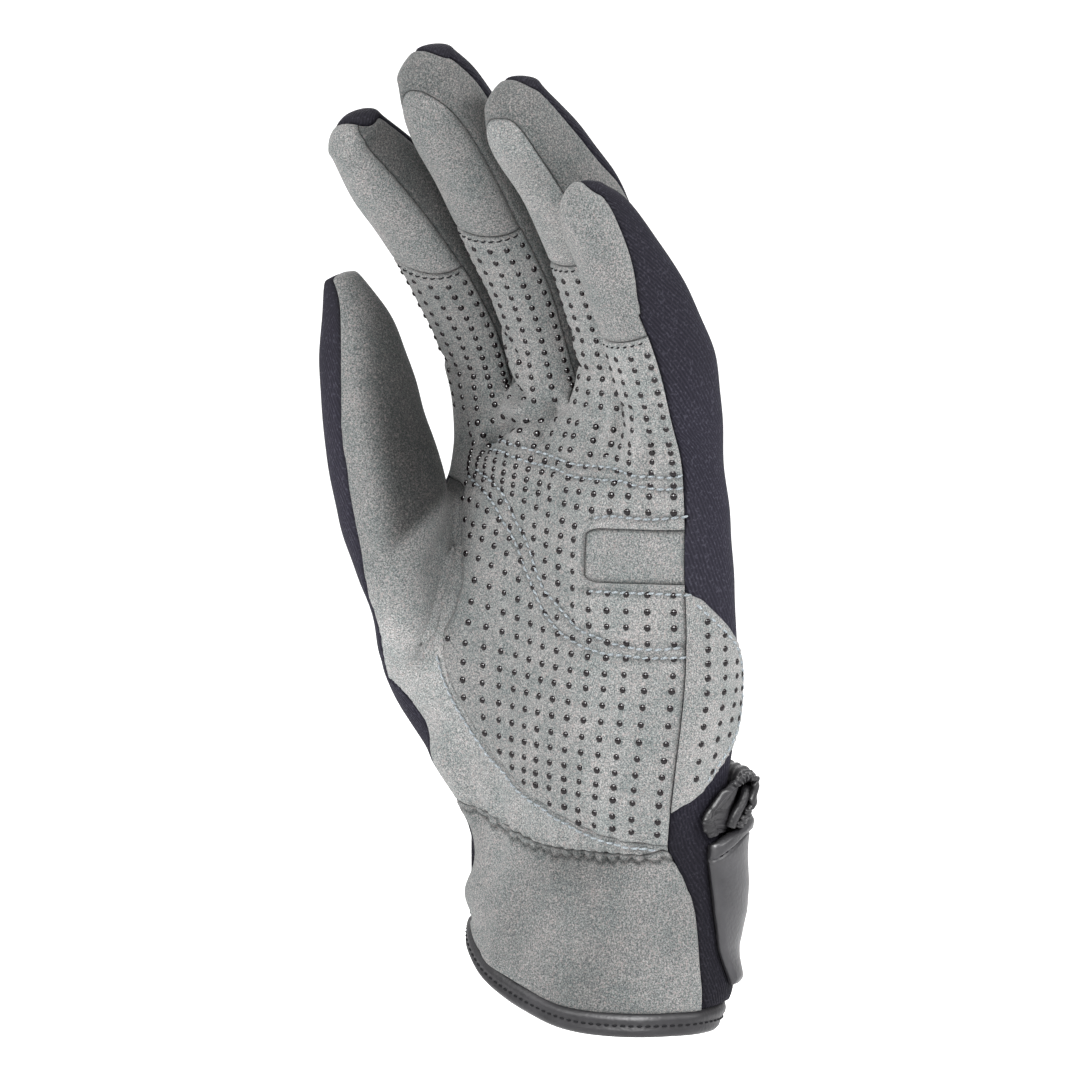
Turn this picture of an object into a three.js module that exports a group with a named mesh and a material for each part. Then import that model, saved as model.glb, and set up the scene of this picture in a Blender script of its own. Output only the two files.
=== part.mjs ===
// Five-finger diving glove, left hand. Millimetres, +Z to the fingertips,
// palm to -Y, thumb to -X, origin in the middle of the wrist opening.
import * as THREE from 'three';

const wall = 1.8;          // cloth and suede wall
const seamGap = 0.3;       // clear width between sewn pieces
const roundness = 2.3;     // roundness of the hand's sections
const fingerRoundness = 2.35;
const rootHeight = 141;    // nominal height of the finger roots

const finishes = {
  neoprene: { color: 0x3a3846, roughness: 0.85, metalness: 0 },
  suede: { color: 0x8c918e, roughness: 0.95, metalness: 0 },
  leather: { color: 0x35343a, roughness: 0.45, metalness: 0 },
};

// hand sections from hem to knuckles
const palmRowColumns = ['z', 'x', 'y', 'half', 'palm', 'back', 'hem', 'ball', 'tilt', 'edge'];
const palmRowTable = [
  [-1.5, -0.8, -0.9, 34.4, 22.8, 22.4, 1.00, 0, 0, 12],
  [3.5, -0.8, -0.9, 34.2, 22.6, 22.3, 0.97, 0, 0, 12],
  [14, -1.0, -0.9, 33.6, 22.3, 22.1, 0.74, 0, 0.6, 12],
  [25, -1.2, -0.9, 33.2, 22.0, 22.0, 0.45, 0, 2, 13],
  [35, -1.4, -1.0, 33.2, 21.6, 21.8, 0.20, 0, 4, 15],
  [45, -1.6, -1.3, 33.8, 21.6, 21.4, 0.05, 1.5, 5, 20],
  [55, -1.6, -1.8, 36.4, 21.8, 20.6, 0, 7.0, 4, 22],
  [66, -1.2, -2.2, 39.0, 21.6, 19.8, 0, 14.5, 2, 23],
  [77, -0.9, -2.4, 40.8, 21.2, 19.0, 0, 18.5, 0, 23],
  [89, -0.9, -2.5, 41.4, 20.4, 18.2, 0, 15.0, 0, 23],
  [101, -1.2, -2.9, 41.2, 19.6, 17.2, 0, 9.0, 0, 23],
  [113.8, -1.2, -3.4, 41.0, 18.2, 16.4, 0, 3.0, 0, 23],
  [119.5, -1.0, -3.8, 40.8, 17.4, 16.1, 0, 0.5, 0, 23],
  [130.5, -0.4, -4.7, 41.1, 15.4, 15.1, 0, 0, 0, 24],
];

// finger centre lines with half width and half thickness, root to tip
const stationColumns = ['x', 'y', 'z', 'wide', 'thick'];
const fingers = [
  { name: 'index', seam: 0.56, slant: -4.5, stations: [
    [-31.0, -1.5, 138, 10.1, 12.0], [-30.9, -3.8, 149, 10.1, 11.8], [-30.8, -9.0, 160, 9.9, 11.2],
    [-30.6, -17.0, 171, 9.7, 10.8], [-30.4, -27.0, 182, 9.5, 10.6], [-30.1, -38.0, 192, 9.1, 10.0],
    [-29.8, -50.5, 202.5, 6.0, 6.8]] },
  { name: 'middle', seam: 0.55, slant: -2.5, stations: [
    [-10.4, -2.0, 141, 10.1, 12.2], [-10.4, -5.2, 154, 10.0, 12.0], [-10.2, -11.0, 168, 9.8, 11.4],
    [-10.0, -19.5, 181, 9.6, 11.2], [-9.8, -29.5, 195, 9.5, 11.0], [-9.6, -40.5, 209, 8.9, 10.4],
    [-9.6, -47.5, 217.5, 5.8, 7.2]] },
  { name: 'ring', seam: 0.485, slant: 0, stations: [
    [10.4, -1.0, 140, 10.1, 12.2], [10.4, -3.2, 152, 10.1, 12.0], [10.3, -7.6, 166, 9.9, 11.5],
    [10.2, -14.0, 179, 9.7, 11.0], [10.0, -22.8, 192, 9.4, 10.3], [9.8, -34.0, 204, 8.6, 9.0],
    [9.8, -39.0, 210.5, 5.8, 6.6]] },
  { name: 'little', seam: 0.445, slant: 0, stations: [
    [31.2, -8.0, 136, 10.0, 12.2], [31.2, -11.0, 147, 10.1, 12.2], [31.0, -15.5, 158, 9.8, 11.6],
    [30.7, -21.5, 168, 9.3, 10.6], [30.4, -27.5, 177, 8.6, 9.2], [30.0, -33.5, 185, 7.6, 8.0],
    [30.0, -38.5, 190.5, 5.0, 5.4]] },
];
const thumbStations = [
  [-24.0, -14.0, 76, 15.0, 14.0], [-29.5, -22.5, 90, 14.5, 14.0], [-34.3, -28.0, 105, 13.6, 13.6],
  [-37.6, -31.2, 121, 12.7, 12.7], [-40.6, -34.0, 136, 11.6, 11.5], [-42.7, -35.4, 149, 10.1, 10.0],
  [-44.4, -37.0, 160, 7.4, 7.6], [-46.0, -39.2, 169, 3.6, 4.2],
];
const thumbHole = { low: 8, high: 12, first: 34, last: 38 };   // rows and columns left open
const thumbLean = 16;      // how far the thumb's root rings tip towards the palm's back
const rootRow = palmRowTable.length;

const rad = (d) => d * Math.PI / 180;
const cornerBack = rad(32);
const cornerRadial = rad(36);
const lerp = (a, b, t) => a + (b - a) * t;
const steps = (a, b, n) => Array.from({ length: n }, (_, i) => lerp(a, b, i / (n - 1)));
const named = (columns, row) => Object.fromEntries(columns.map((c, i) => [c, row[i]]));

function rounded(angle, power) {
  const c = Math.cos(angle);
  const s = Math.sin(angle);
  return [Math.sign(c) * Math.abs(c) ** (2 / power), Math.sign(s) * Math.abs(s) ** (2 / power)];
}

// one point of a hand section; columns 0-16 back, 16-20 outer edge, 20-36 palm, 36-40 thumb edge
function palmPoint(row, column) {
  let x, y;
  const outerEdge = rad(row.edge);
  const flat = (from, to, t, side) => {
    const v = lerp(rounded(from, roundness)[0], rounded(to, roundness)[0], t);
    return [v, side * (1 - Math.abs(v) ** roundness) ** (1 / roundness)];
  };
  const thumbSide = -(Math.PI - cornerRadial);
  if (column <= 16) [x, y] = flat(Math.PI - cornerBack, cornerBack, column / 16, 1);
  else if (column < 20) [x, y] = rounded(lerp(cornerBack, -outerEdge, (column - 16) / 4), roundness);
  else if (column <= 36) [x, y] = flat(-outerEdge, thumbSide, (column - 20) / 16, -1);
  else [x, y] = rounded(lerp(thumbSide, -(Math.PI + cornerBack), (column - 36) / 4), roundness);
  const bulge = row.ball * Math.exp(-(((column - 36) / 3.8) ** 2));
  const px = row.x + row.half * x - bulge * 0.72;
  const py = row.y + (y > 0 ? row.back : row.palm) * y - bulge * 0.69;
  const rise = 1.16 * Math.log(1 + Math.exp((10 - px) / 4)) + 5 * Math.exp(-(((column - 36.5) / 3) ** 2));
  return new THREE.Vector3(px, py, row.z + rise * row.hem - row.tilt * px / 34 * (y < 0 ? 1 : 0.3));
}

// smooth curve through the stations, read by length along it
function curve(stations) {
  const p = [stations[0].map((v, i) => 2 * v - stations[1][i]), ...stations,
    stations.at(-1).map((v, i) => 2 * v - stations.at(-2)[i])];
  const fine = [];
  for (let i = 1; i < p.length - 2; i++)
    for (let k = 0; k < 24; k++) {
      const t = k / 24;
      fine.push(p[i].map((v, j) => 0.5 * (2 * v + (p[i + 1][j] - p[i - 1][j]) * t
        + (2 * p[i - 1][j] - 5 * v + 4 * p[i + 1][j] - p[i + 2][j]) * t * t
        + (3 * v - p[i - 1][j] - 3 * p[i + 1][j] + p[i + 2][j]) * t * t * t)));
    }
  fine.push(stations.at(-1));
  const along = [0];
  for (let i = 1; i < fine.length; i++)
    along.push(along[i - 1] + Math.hypot(...[0, 1, 2].map((j) => fine[i][j] - fine[i - 1][j])));
  const length = along.at(-1);
  const at = (s) => {
    if (s <= 0) return fine[0].map((v, j) => v + (fine[1][j] - v) * s / along[1]);
    let i = 1;
    while (i < fine.length - 1 && along[i] < s) i++;
    const t = Math.min((s - along[i - 1]) / (along[i] - along[i - 1]), 1);
    return fine[i].map((v, j) => lerp(fine[i - 1][j], v, t));
  };
  const direction = (s) => {
    const a = at(Math.max(s - 0.5, 0));
    const b = at(Math.min(s + 0.5, length));
    return new THREE.Vector3(b[0] - a[0], b[1] - a[1], b[2] - a[2]).normalize();
  };
  return { length, at, direction };
}

// point k of 16 round a finger: 0-4 back, 4-8 outer side, 8-12 pad, 12-16 thumb side
function ringPoint(line, s, k, yaw) {
  const angle = rad(135) - k * rad(22.5) + yaw;
  const [x, y] = rounded(angle, fingerRoundness);
  const station = line.at(s);
  const along = line.direction(s);
  const across = new THREE.Vector3(1, 0, 0);
  across.addScaledVector(along, -across.dot(along)).normalize();
  const up = new THREE.Vector3().crossVectors(along, across);
  return new THREE.Vector3(...station.slice(0, 3))
    .addScaledVector(across, station[3] * x).addScaledVector(up, station[4] * y);
}

// the whole skin as one net of four-sided cells
const points = [];
const index = new Map();
const faces = [];
const add = (key, p) => {
  if (!index.has(key)) {
    index.set(key, points.length);
    points.push(p.clone());
  }
  return index.get(key);
};
const quad = (a, b, c, d, zone, row, column) =>
  faces.push({ corners: [a, b, c, d].map((k) => index.get(k)), zone, row, column });
const mean = (list) => list.reduce((s, p) => s.add(p), new THREE.Vector3()).divideScalar(list.length);

const palmRows = palmRowTable.map((row) => named(palmRowColumns, row));
const palmKey = (r, c) => `p${r},${(c + 40) % 40}`;
const rootKey = (f, k) => {
  if (k <= 4) return palmKey(rootRow, 4 * f + k);
  if (k < 8) return f === 3 ? palmKey(rootRow, 12 + k) : `w${f},${k - 4}`;
  if (k <= 12) return palmKey(rootRow, 32 - 4 * f + k - 8);
  return f === 0 ? palmKey(rootRow, 24 + k) : `w${f - 1},${16 - k}`;
};

// rings stand at these shares of a finger's length, the fifth on the seam of its pad
const fingerShares = (seam) => [...steps(0, seam, 5), ...steps(seam, 0.82, 5).slice(1), 0.9, 0.95, 0.985, 1];
const rings = fingers.map((finger) => {
  const line = curve(finger.stations);
  return fingerShares(finger.seam).map((share) => Array.from({ length: 16 }, (_, k) => {
    const side = Math.cos(rad(135) - k * rad(22.5));
    const slant = finger.slant * side * Math.sin(Math.PI * share);
    return ringPoint(line, share * line.length + slant, k, 0);
  }));
});

palmRows.forEach((row, r) => {
  for (let c = 0; c < 40; c++)
    if (!(r > thumbHole.low && r < thumbHole.high && c > thumbHole.first && c < thumbHole.last))
      add(palmKey(r, c), palmPoint(row, c));
});
const rootPoints = new Map();
rings.forEach((ring, f) => ring[0].forEach((p, k) => {
  const key = rootKey(f, k);
  rootPoints.set(key, [...(rootPoints.get(key) ?? []), p]);
}));
rootPoints.forEach((list, key) => add(key, mean(list)));

for (let r = 0; r < rootRow; r++)
  for (let c = 0; c < 40; c++) {
    if (r >= thumbHole.low && r < thumbHole.high && c >= thumbHole.first && c < thumbHole.last) continue;
    quad(palmKey(r, c), palmKey(r + 1, c), palmKey(r + 1, c + 1), palmKey(r, c + 1), 'palm', r, c);
  }

// closes a ring of 16 with a 4 x 4 patch
function closeTip(name, ring, along, bulge) {
  const cell = (i, j) => j === 0 ? ring[i] : i === 4 ? ring[4 + j] : j === 4 ? ring[12 - i]
    : i === 0 ? ring[(16 - j) % 16] : `${name}tip${i},${j}`;
  const at = (i, j) => points[index.get(cell(i, j))];
  for (let i = 1; i < 4; i++)
    for (let j = 1; j < 4; j++) {
      const p = mean([at(i, 0).clone().lerp(at(i, 4), j / 4), at(0, j).clone().lerp(at(4, j), i / 4)]);
      const share = i === 2 && j === 2 ? 1 : i === 2 || j === 2 ? 0.85 : 0.7;
      add(cell(i, j), p.addScaledVector(along, bulge * share));
    }
  for (let i = 0; i < 4; i++)
    for (let j = 0; j < 4; j++)
      quad(cell(i, j), cell(i, j + 1), cell(i + 1, j + 1), cell(i + 1, j), `${name}Tip`, j, i);
}

function tube(name, rows, key, along, bulge) {
  for (let r = 0; r < rows; r++)
    for (let k = 0; k < 16; k++)
      quad(key(r, k), key(r + 1, k), key(r + 1, (k + 1) % 16), key(r, (k + 1) % 16), name, r, k);
  closeTip(name, Array.from({ length: 16 }, (_, k) => key(rows, k)), along, bulge);
}

const fingerTipBulge = 3;
const thumbTipBulge = 1.2;
fingers.forEach((finger, f) => {
  const rows = rings[f].length - 1;
  const key = (r, k) => r === 0 ? rootKey(f, k) : `${finger.name}${r},${k}`;
  for (let r = 1; r <= rows; r++)
    for (let k = 0; k < 16; k++) add(key(r, k), rings[f][r][k]);
  const line = curve(finger.stations);
  tube(finger.name, rows, key, line.direction(line.length), fingerTipBulge);
});

// the thumb grows out of the hole in the palm's edge
const thumbLine = curve(thumbStations);
const holeEdge = [
  ...[0, 1, 2, 3].map((k) => palmKey(thumbHole.high, thumbHole.last - k)),
  ...[0, 1, 2, 3].map((k) => palmKey(thumbHole.high - k, thumbHole.first)),
  ...[0, 1, 2, 3].map((k) => palmKey(thumbHole.low, thumbHole.first + k)),
  ...[0, 1, 2, 3].map((k) => palmKey(thumbHole.low + k, thumbHole.last)),
];
const thumbShares = [0.30, 0.37, 0.45, 0.53, 0.61, 0.69, 0.77, 0.85, 0.91, 0.96, 1];
const thumbBlend = [0.5, 0.85, 1];     // how far the first rings have left the hole's edge
const thumbYaw = rad(8);
const thumbKey = (r, k) => r === 0 ? holeEdge[k % 16] : `thumb${r},${k % 16}`;
thumbShares.forEach((share, i) => {
  const lean = thumbLean * Math.max(0, 1 - i / 7) ** 1.5;
  for (let k = 0; k < 16; k++) {
    const side = Math.sin(rad(135) - k * rad(22.5));
    const s = share * thumbLine.length + lean * side;
    const p = ringPoint(thumbLine, s, k, thumbYaw);
    if (i < 3) p.lerp(points[index.get(holeEdge[k])], 1 - thumbBlend[i]);
    add(thumbKey(i + 1, k), p);
  }
});
tube('thumb', thumbShares.length, thumbKey, thumbLine.direction(thumbLine.length), thumbTipBulge);

// evens out the net round the finger roots and the thumb's root
{
  const near = points.map(() => new Set());
  for (const { corners } of faces)
    corners.forEach((v, i) => {
      near[v].add(corners[(i + 1) % 4]);
      near[v].add(corners[(i + 3) % 4]);
    });
  const ease = new Array(points.length).fill(0);
  for (const [key, v] of index) {
    const [r, c] = key.replace(/^[a-z]+/, '').split(',').map(Number);
    const zone = key.match(/^[a-z]+/)[0];
    if (zone === 'w') ease[v] = 0.5;
    else if (zone === 'p' && r >= rootRow - 1) ease[v] = 0.5;
    else if (zone === 'p' && r === rootRow - 2) ease[v] = 0.25;
    else if (zone !== 'p' && zone !== 'thumb' && r === 1) ease[v] = 0.3;
    else if (zone === 'thumb' && r < 3) ease[v] = 0.5;
    if (zone === 'p' && r >= thumbHole.low - 1 && r <= thumbHole.high + 1
      && c >= thumbHole.first - 1 && c <= thumbHole.last + 1) ease[v] = 0.5;
  }
  for (let pass = 0; pass < 3; pass++) {
    const middle = points.map((p, i) => mean([...near[i]].map((j) => points[j])));
    points.forEach((p, i) => p.lerp(middle[i], ease[i]));
  }
}

// normals of the net
const normals = points.map(() => new THREE.Vector3());
for (const { corners } of faces) {
  const [a, b, c, d] = corners.map((v) => points[v]);
  const n = new THREE.Vector3().crossVectors(c.clone().sub(a), d.clone().sub(b));
  for (const v of corners) normals[v].add(n);
}
normals.forEach((n) => n.normalize());

// palm points as column and nominal height
const rowHeights = [...palmRows.map((row) => row.z), rootHeight];
const place = new Map();
for (const [key, v] of index)
  if (/^p/.test(key)) {
    const [r, c] = key.slice(1).split(',').map(Number);
    place.set(v, [c, rowHeights[r]]);
  }

// outlines drawn on the palm: column, nominal height
const gripEdge = [[36, 120.5], [34, 119.5], [33.4, 110], [32.8, 100], [32.9, 86], [32.8, 75], [31.8, 65],
  [30.4, 57], [28.6, 52.6], [25.7, 49.8], [22, 48.6], [18, 48]];
const windowEdge = [[19, 113.8], [24.6, 113.8], [25, 113], [25, 101.8], [24.6, 101], [19, 101]];
const sidePatchEdge = [[20.6, 101], [19.3, 98], [18.4, 93], [17.3, 87], [16.4, 80.5], [16.1, 74],
  [16.4, 67.5], [17.3, 62], [18.4, 56.4], [20.6, 51]];
const columnWidth = 4.2;

// signed distance to an outline, positive inside; the outline closes on the right of its path
function inside(outline, column, height) {
  let best = Infinity;
  let winding = false;
  const p = [column * columnWidth, height];
  const q = outline.map(([c, z]) => [c * columnWidth, z]);
  q.forEach((b, i) => {
    const a = q[(i + q.length - 1) % q.length];
    const d = [b[0] - a[0], b[1] - a[1]];
    const along = ((p[0] - a[0]) * d[0] + (p[1] - a[1]) * d[1]) / (d[0] ** 2 + d[1] ** 2);
    const t = Math.max(0, Math.min(1, along));
    best = Math.min(best, Math.hypot(a[0] + d[0] * t - p[0], a[1] + d[1] * t - p[1]));
    if ((a[1] > p[1]) !== (b[1] > p[1]) && p[0] < a[0] + d[0] * (p[1] - a[1]) / d[1]) winding = !winding;
  });
  return winding ? best : -best;
}

// cuts a set of flat patches along a field; points close to the line are slid onto it
const slideShare = 0.3;    // points nearer than this share of an edge are slid
const onLine = 0.8;        // millimetres from the line that count as on it
function cut(patches, outline) {
  const value = new Map();
  for (const patch of patches)
    for (const v of patch) value.set(v, inside(outline, ...place.get(v)));
  const slide = new Map();
  for (const patch of patches)
    patch.forEach((v, i) => {
      for (const w of [patch[(i + 1) % patch.length], patch.at(i - 1)]) {
        const t = value.get(v) / (value.get(v) - value.get(w));
        const crosses = value.get(v) * value.get(w) < 0;
        if (crosses && t < slideShare && t < (slide.get(v)?.t ?? 1)) slide.set(v, { w, t });
      }
    });
  const moved = [...slide].map(([v, { w, t }]) => [v, points[v].clone().lerp(points[w], t),
    place.get(v).map((x, i) => lerp(x, place.get(w)[i], t))]);
  for (const [v, p, where] of moved) {
    points[v].copy(p);
    place.set(v, where);
    value.set(v, 0);
  }
  for (const [v, distance] of value)
    if (Math.abs(distance) < onLine) value.set(v, 0);
  const made = new Map();
  const between = (v, w) => {
    const key = [Math.min(v, w), Math.max(v, w)].join();
    if (!made.has(key)) {
      const t = value.get(v) / (value.get(v) - value.get(w));
      made.set(key, points.length);
      points.push(points[v].clone().lerp(points[w], t));
      normals.push(normals[v].clone().lerp(normals[w], t).normalize());
      place.set(points.length - 1, place.get(v).map((x, i) => lerp(x, place.get(w)[i], t)));
    }
    return made.get(key);
  };
  const result = { in: [], out: [] };
  for (const patch of patches) {
    const side = { in: [], out: [] };
    patch.forEach((v, i) => {
      const w = patch[(i + 1) % patch.length];
      const a = value.get(v);
      const b = value.get(w);
      if (a >= 0) side.in.push(v);
      if (a <= 0) side.out.push(v);
      if (a * b < 0) {
        const m = between(v, w);
        side.in.push(m);
        side.out.push(m);
      }
    });
    const some = (sign) => patch.some((v) => sign * value.get(v) > 0);
    if (some(1) !== some(-1) || !some(1)) {
      const middle = [0, 1].map((i) => patch.reduce((sum, v) => sum + place.get(v)[i], 0) / patch.length);
      result[inside(outline, ...middle) > 0 ? 'in' : 'out'].push(patch);
    } else {
      result.in.push(side.in);
      result.out.push(side.out);
    }
  }
  for (const side of ['in', 'out']) result[side] = result[side].filter((patch) => patch.length > 2);
  return result;
}

// pieces
const group = new THREE.Group();
group.name = 'diving_glove';

function solid(name, finish, positions, triangles) {
  const geometry = new THREE.BufferGeometry();
  const numbers = positions.flatMap((p) => [p.x, p.y, p.z]);
  geometry.setAttribute('position', new THREE.Float32BufferAttribute(numbers, 3));
  geometry.setIndex(triangles.flat());
  geometry.computeVertexNormals();
  const mesh = new THREE.Mesh(geometry, new THREE.MeshStandardMaterial(finish));
  mesh.name = name;
  group.add(mesh);
}

// a closed wall from patches of the net, between two heights above it, drawn in from its edges
const sharpest = 0.35;     // keeps a sharp corner from being drawn in too far
function sheet(name, finish, patches, top, bottom, draw = () => seamGap / 2) {
  const edges = new Map();
  const triangles = patches.flatMap((patch) => patch.slice(2).map((v, i) => [patch[0], patch[i + 1], v]));
  for (const [a, b, c] of triangles)
    for (const [v, w] of [[a, b], [b, c], [c, a]]) edges.set(`${v},${w}`, [v, w]);
  const rim = [...edges.values()].filter(([v, w]) => !edges.has(`${w},${v}`));
  const pulls = new Map();
  for (const [v, w] of rim) {
    const run = points[w].clone().sub(points[v]);
    for (const end of [v, w]) {
      const pull = new THREE.Vector3().crossVectors(normals[end], run).normalize();
      pulls.set(end, [...(pulls.get(end) ?? []), pull]);
    }
  }
  const used = [...new Set(triangles.flat())];
  const slot = new Map(used.map((v, i) => [v, i]));
  const upper = used.map((v) => {
    const p = points[v].clone();
    if (pulls.has(v)) {
      const [a, b] = pulls.get(v);
      p.addScaledVector(a.clone().add(b), draw(points[v]) / Math.max(sharpest, 1 + a.dot(b)));
    }
    return p;
  });
  const lower = upper.map((p, i) => p.clone().addScaledVector(normals[used[i]], bottom));
  upper.forEach((p, i) => p.addScaledVector(normals[used[i]], top));
  const n = used.length;
  const skin = triangles.map((t) => t.map((v) => slot.get(v)));
  solid(name, finish, [...upper, ...lower], [
    ...skin, ...skin.map(([a, b, c]) => [c + n, b + n, a + n]),
    ...rim.flatMap(([v, w]) => {
      const [a, b] = [slot.get(v), slot.get(w)];
      return [[b, a, a + n], [b, a + n, b + n]];
    }),
  ]);
}

const pick = (test) => faces.filter(test).map((face) => face.corners);
const palmCells = (test) => pick((f) => f.zone === 'palm' && test(f.row, f.column));
const onPalm = (column) => column >= 20 && column < 36;

// palm side: dotted grip, plain ball of the thumb, plain window, cuff
const gatherRow = 5;       // where the palm meets the gathered cuff
const beforeWindow = cut(palmCells((r, c) => r >= gatherRow && onPalm(c)),
  [...gripEdge, [10, 48], [10, 160], [37, 160], [37, 120.5]]);
const grip = cut(beforeWindow.in, windowEdge);

const padSide = { index: 7, middle: 7, ring: 8, little: 8 };
const fingerPads = fingers.map(({ name }) => pick((f) => f.zone === name && f.row < 4
  && f.column >= padSide[name] && f.column < 12));
const { neoprene, suede, leather } = finishes;
sheet('palm_panel', suede, [...grip.out, ...fingerPads.flat()], 0, -wall);
sheet('palm_inset', suede, grip.in, -0.5, -wall);
sheet('thumb_panel', suede, [...beforeWindow.out,
  ...pick((f) => f.zone === 'thumb' && f.column >= 2 && f.column < 10),
  ...pick((f) => f.zone === 'thumbTip' && f.column >= 2)], 0, -wall);
sheet('cuff_panel', suede, palmCells((r, c) => r > 0 && r < gatherRow && onPalm(c)), 0, -wall);

const tipPad = { index: 2, middle: 1, ring: 1, little: 2 };
for (const { name } of fingers)
  sheet(`${name}_tip_pad`, suede, [
    ...pick((f) => f.zone === name && f.row >= 4 && f.column >= padSide[name] && f.column < 12),
    ...pick((f) => f.zone === `${name}Tip` && f.row >= tipPad[name])], 0, -wall);

// strips between the fingers, drawn in further at the webs where they bend sharply
const gusset = { top: -0.1, bottom: -1.4, webHeight: 153, webDraw: 1.2 };
['index', 'middle', 'ring'].forEach((name, f) => {
  const next = fingers[f + 1].name;
  const strip = pick((cell) => (cell.zone === name && cell.column >= 4 && cell.column < padSide[name])
    || (cell.zone === next && cell.column >= 12));
  sheet(`gusset_${name}_${next}`, suede, strip, gusset.top, gusset.bottom,
    (p) => p.z < gusset.webHeight ? gusset.webDraw : seamGap / 2);
});

// navy back of hand and fingers
sheet('back_panel', neoprene, palmCells((r, c) => r > 0 && !onPalm(c)), 0, -wall);
for (const { name } of fingers)
  sheet(`${name}_back`, neoprene, [
    ...pick((f) => f.zone === name && (f.column < 4 || (name === 'index' && f.column >= 12)
      || (name === 'little' && f.column < 8))),
    ...pick((f) => f.zone === `${name}Tip` && f.row < tipPad[name])], 0, -wall);
sheet('thumb_back', neoprene, [...pick((f) => f.zone === 'thumb' && (f.column < 2 || f.column >= 10)),
  ...pick((f) => f.zone === 'thumbTip' && f.column < 2)], 0, -wall);

// trim and patches
sheet('cuff_binding', leather, palmCells((r) => r === 0), 0.6, -2.2);
const patchCells = palmCells((r, c) => r >= gatherRow && r <= 10 && c >= 15 && c < 20);
sheet('side_patch', suede, cut(patchCells, sidePatchEdge).in, 1.6, 0.5);

// wrist strap: a flap over the back of the cuff and a puckered fold above it
function overBack(column, z) {
  const at = (c, h) => {
    let r = 0;
    while (r < palmRows.length - 2 && palmRows[r + 1].z < h) r++;
    const t = (h - palmRows[r].z) / (palmRows[r + 1].z - palmRows[r].z);
    return palmPoint(palmRows[r], c).lerp(palmPoint(palmRows[r + 1], c), t);
  };
  const p = at(column, z);
  const run = at(column + 0.2, z).sub(at(column - 0.2, z));
  const climb = at(column, z + 0.5).sub(at(column, z - 0.5));
  return { p, out: new THREE.Vector3().crossVectors(climb, run).normalize() };
}

// a closed solid over a grid of columns and rows, given its two faces
function plate(name, finish, columns, rows, face) {
  const positions = [];
  const triangles = [];
  for (const side of [1, 0])
    for (let i = 0; i <= columns; i++)
      for (let j = 0; j <= rows; j++) positions.push(face(i / columns, j / rows, side));
  const at = (i, j, side) => (1 - side) * (columns + 1) * (rows + 1) + i * (rows + 1) + j;
  for (let i = 0; i < columns; i++)
    for (let j = 0; j < rows; j++) {
      const [a, b, c, d] = [[i, j], [i, j + 1], [i + 1, j + 1], [i + 1, j]];
      triangles.push([at(...a, 1), at(...b, 1), at(...c, 1)], [at(...a, 1), at(...c, 1), at(...d, 1)]);
      triangles.push([at(...a, 0), at(...c, 0), at(...b, 0)], [at(...a, 0), at(...d, 0), at(...c, 0)]);
    }
  const wallBetween = (a, b) => triangles.push([a[1], a[0], b[0]], [a[1], b[0], b[1]]);
  const both = (i, j) => [at(i, j, 0), at(i, j, 1)];
  for (let i = 0; i < columns; i++) {
    wallBetween(both(i + 1, 0), both(i, 0));
    wallBetween(both(i, rows), both(i + 1, rows));
  }
  for (let j = 0; j < rows; j++) {
    wallBetween(both(0, j), both(0, j + 1));
    wallBetween(both(columns, j + 1), both(columns, j));
  }
  solid(name, finish, positions, triangles);
}

const flap = {
  left: 0.6, rightLow: 16.2, rightHigh: 18.2, low: 7, high: 43.5, thick: 1.8, gap: 0.5, rise: 2.4,
};
plate('strap_flap', leather, 26, 5, (u, v, side) => {
  const z = lerp(flap.low, flap.high, v);
  const column = lerp(flap.left, lerp(flap.rightLow, flap.rightHigh, v), u);
  const { p, out } = overBack(column, z);
  const lift = flap.gap + flap.rise * v ** 2 * Math.sin(Math.PI * u) ** 0.7;
  return p.addScaledVector(out, lift + (side ? flap.thick : 0));
});

// the fold's section: height above its foot, distance off the glove
const foldTable = [[-0.4, 0.9], [1.2, 4.6], [4.6, 6.6], [8.6, 6.9], [11.4, 5.6], [11.6, 3.6], [9.6, 2.4]];
const fold = { foot: 45.2, left: 1.4, right: 18.4, half: 0.7, low: 1.2, pucker: 0.5, steps: 36 };
plate('strap_ruffle', leather, fold.steps, foldTable.length - 1, (u, v, side) => {
  const i = Math.round(v * (foldTable.length - 1));
  const before = foldTable[Math.max(i - 1, 0)];
  const after = foldTable[Math.min(i + 1, foldTable.length - 1)];
  const run = [after[0] - before[0], after[1] - before[1]];
  const length = Math.hypot(...run);
  const ends = Math.min(1, 0.35 + 6 * Math.min(u, 1 - u));    // the fold sinks at both ends
  const pucker = fold.pucker * Math.sin(u * fold.steps * Math.PI / 2) * Math.min(v * 2, 1);
  const thick = side ? fold.half : -fold.half;
  const height = foldTable[i][0] * ends - run[1] / length * thick;
  const off = fold.low + (foldTable[i][1] - fold.low) * ends + pucker + run[0] / length * thick;
  const { p, out } = overBack(lerp(fold.left, fold.right, u), fold.foot + height);
  return p.addScaledVector(out, off);
});

export default group;
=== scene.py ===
# A left-hand diving glove: navy neoprene back, grey suede palm with grip dots, bound cuff, wrist strap.
import math
import random
from functools import lru_cache

import bmesh
import bpy
import numpy as np
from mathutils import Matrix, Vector
from mathutils.kdtree import KDTree


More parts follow.
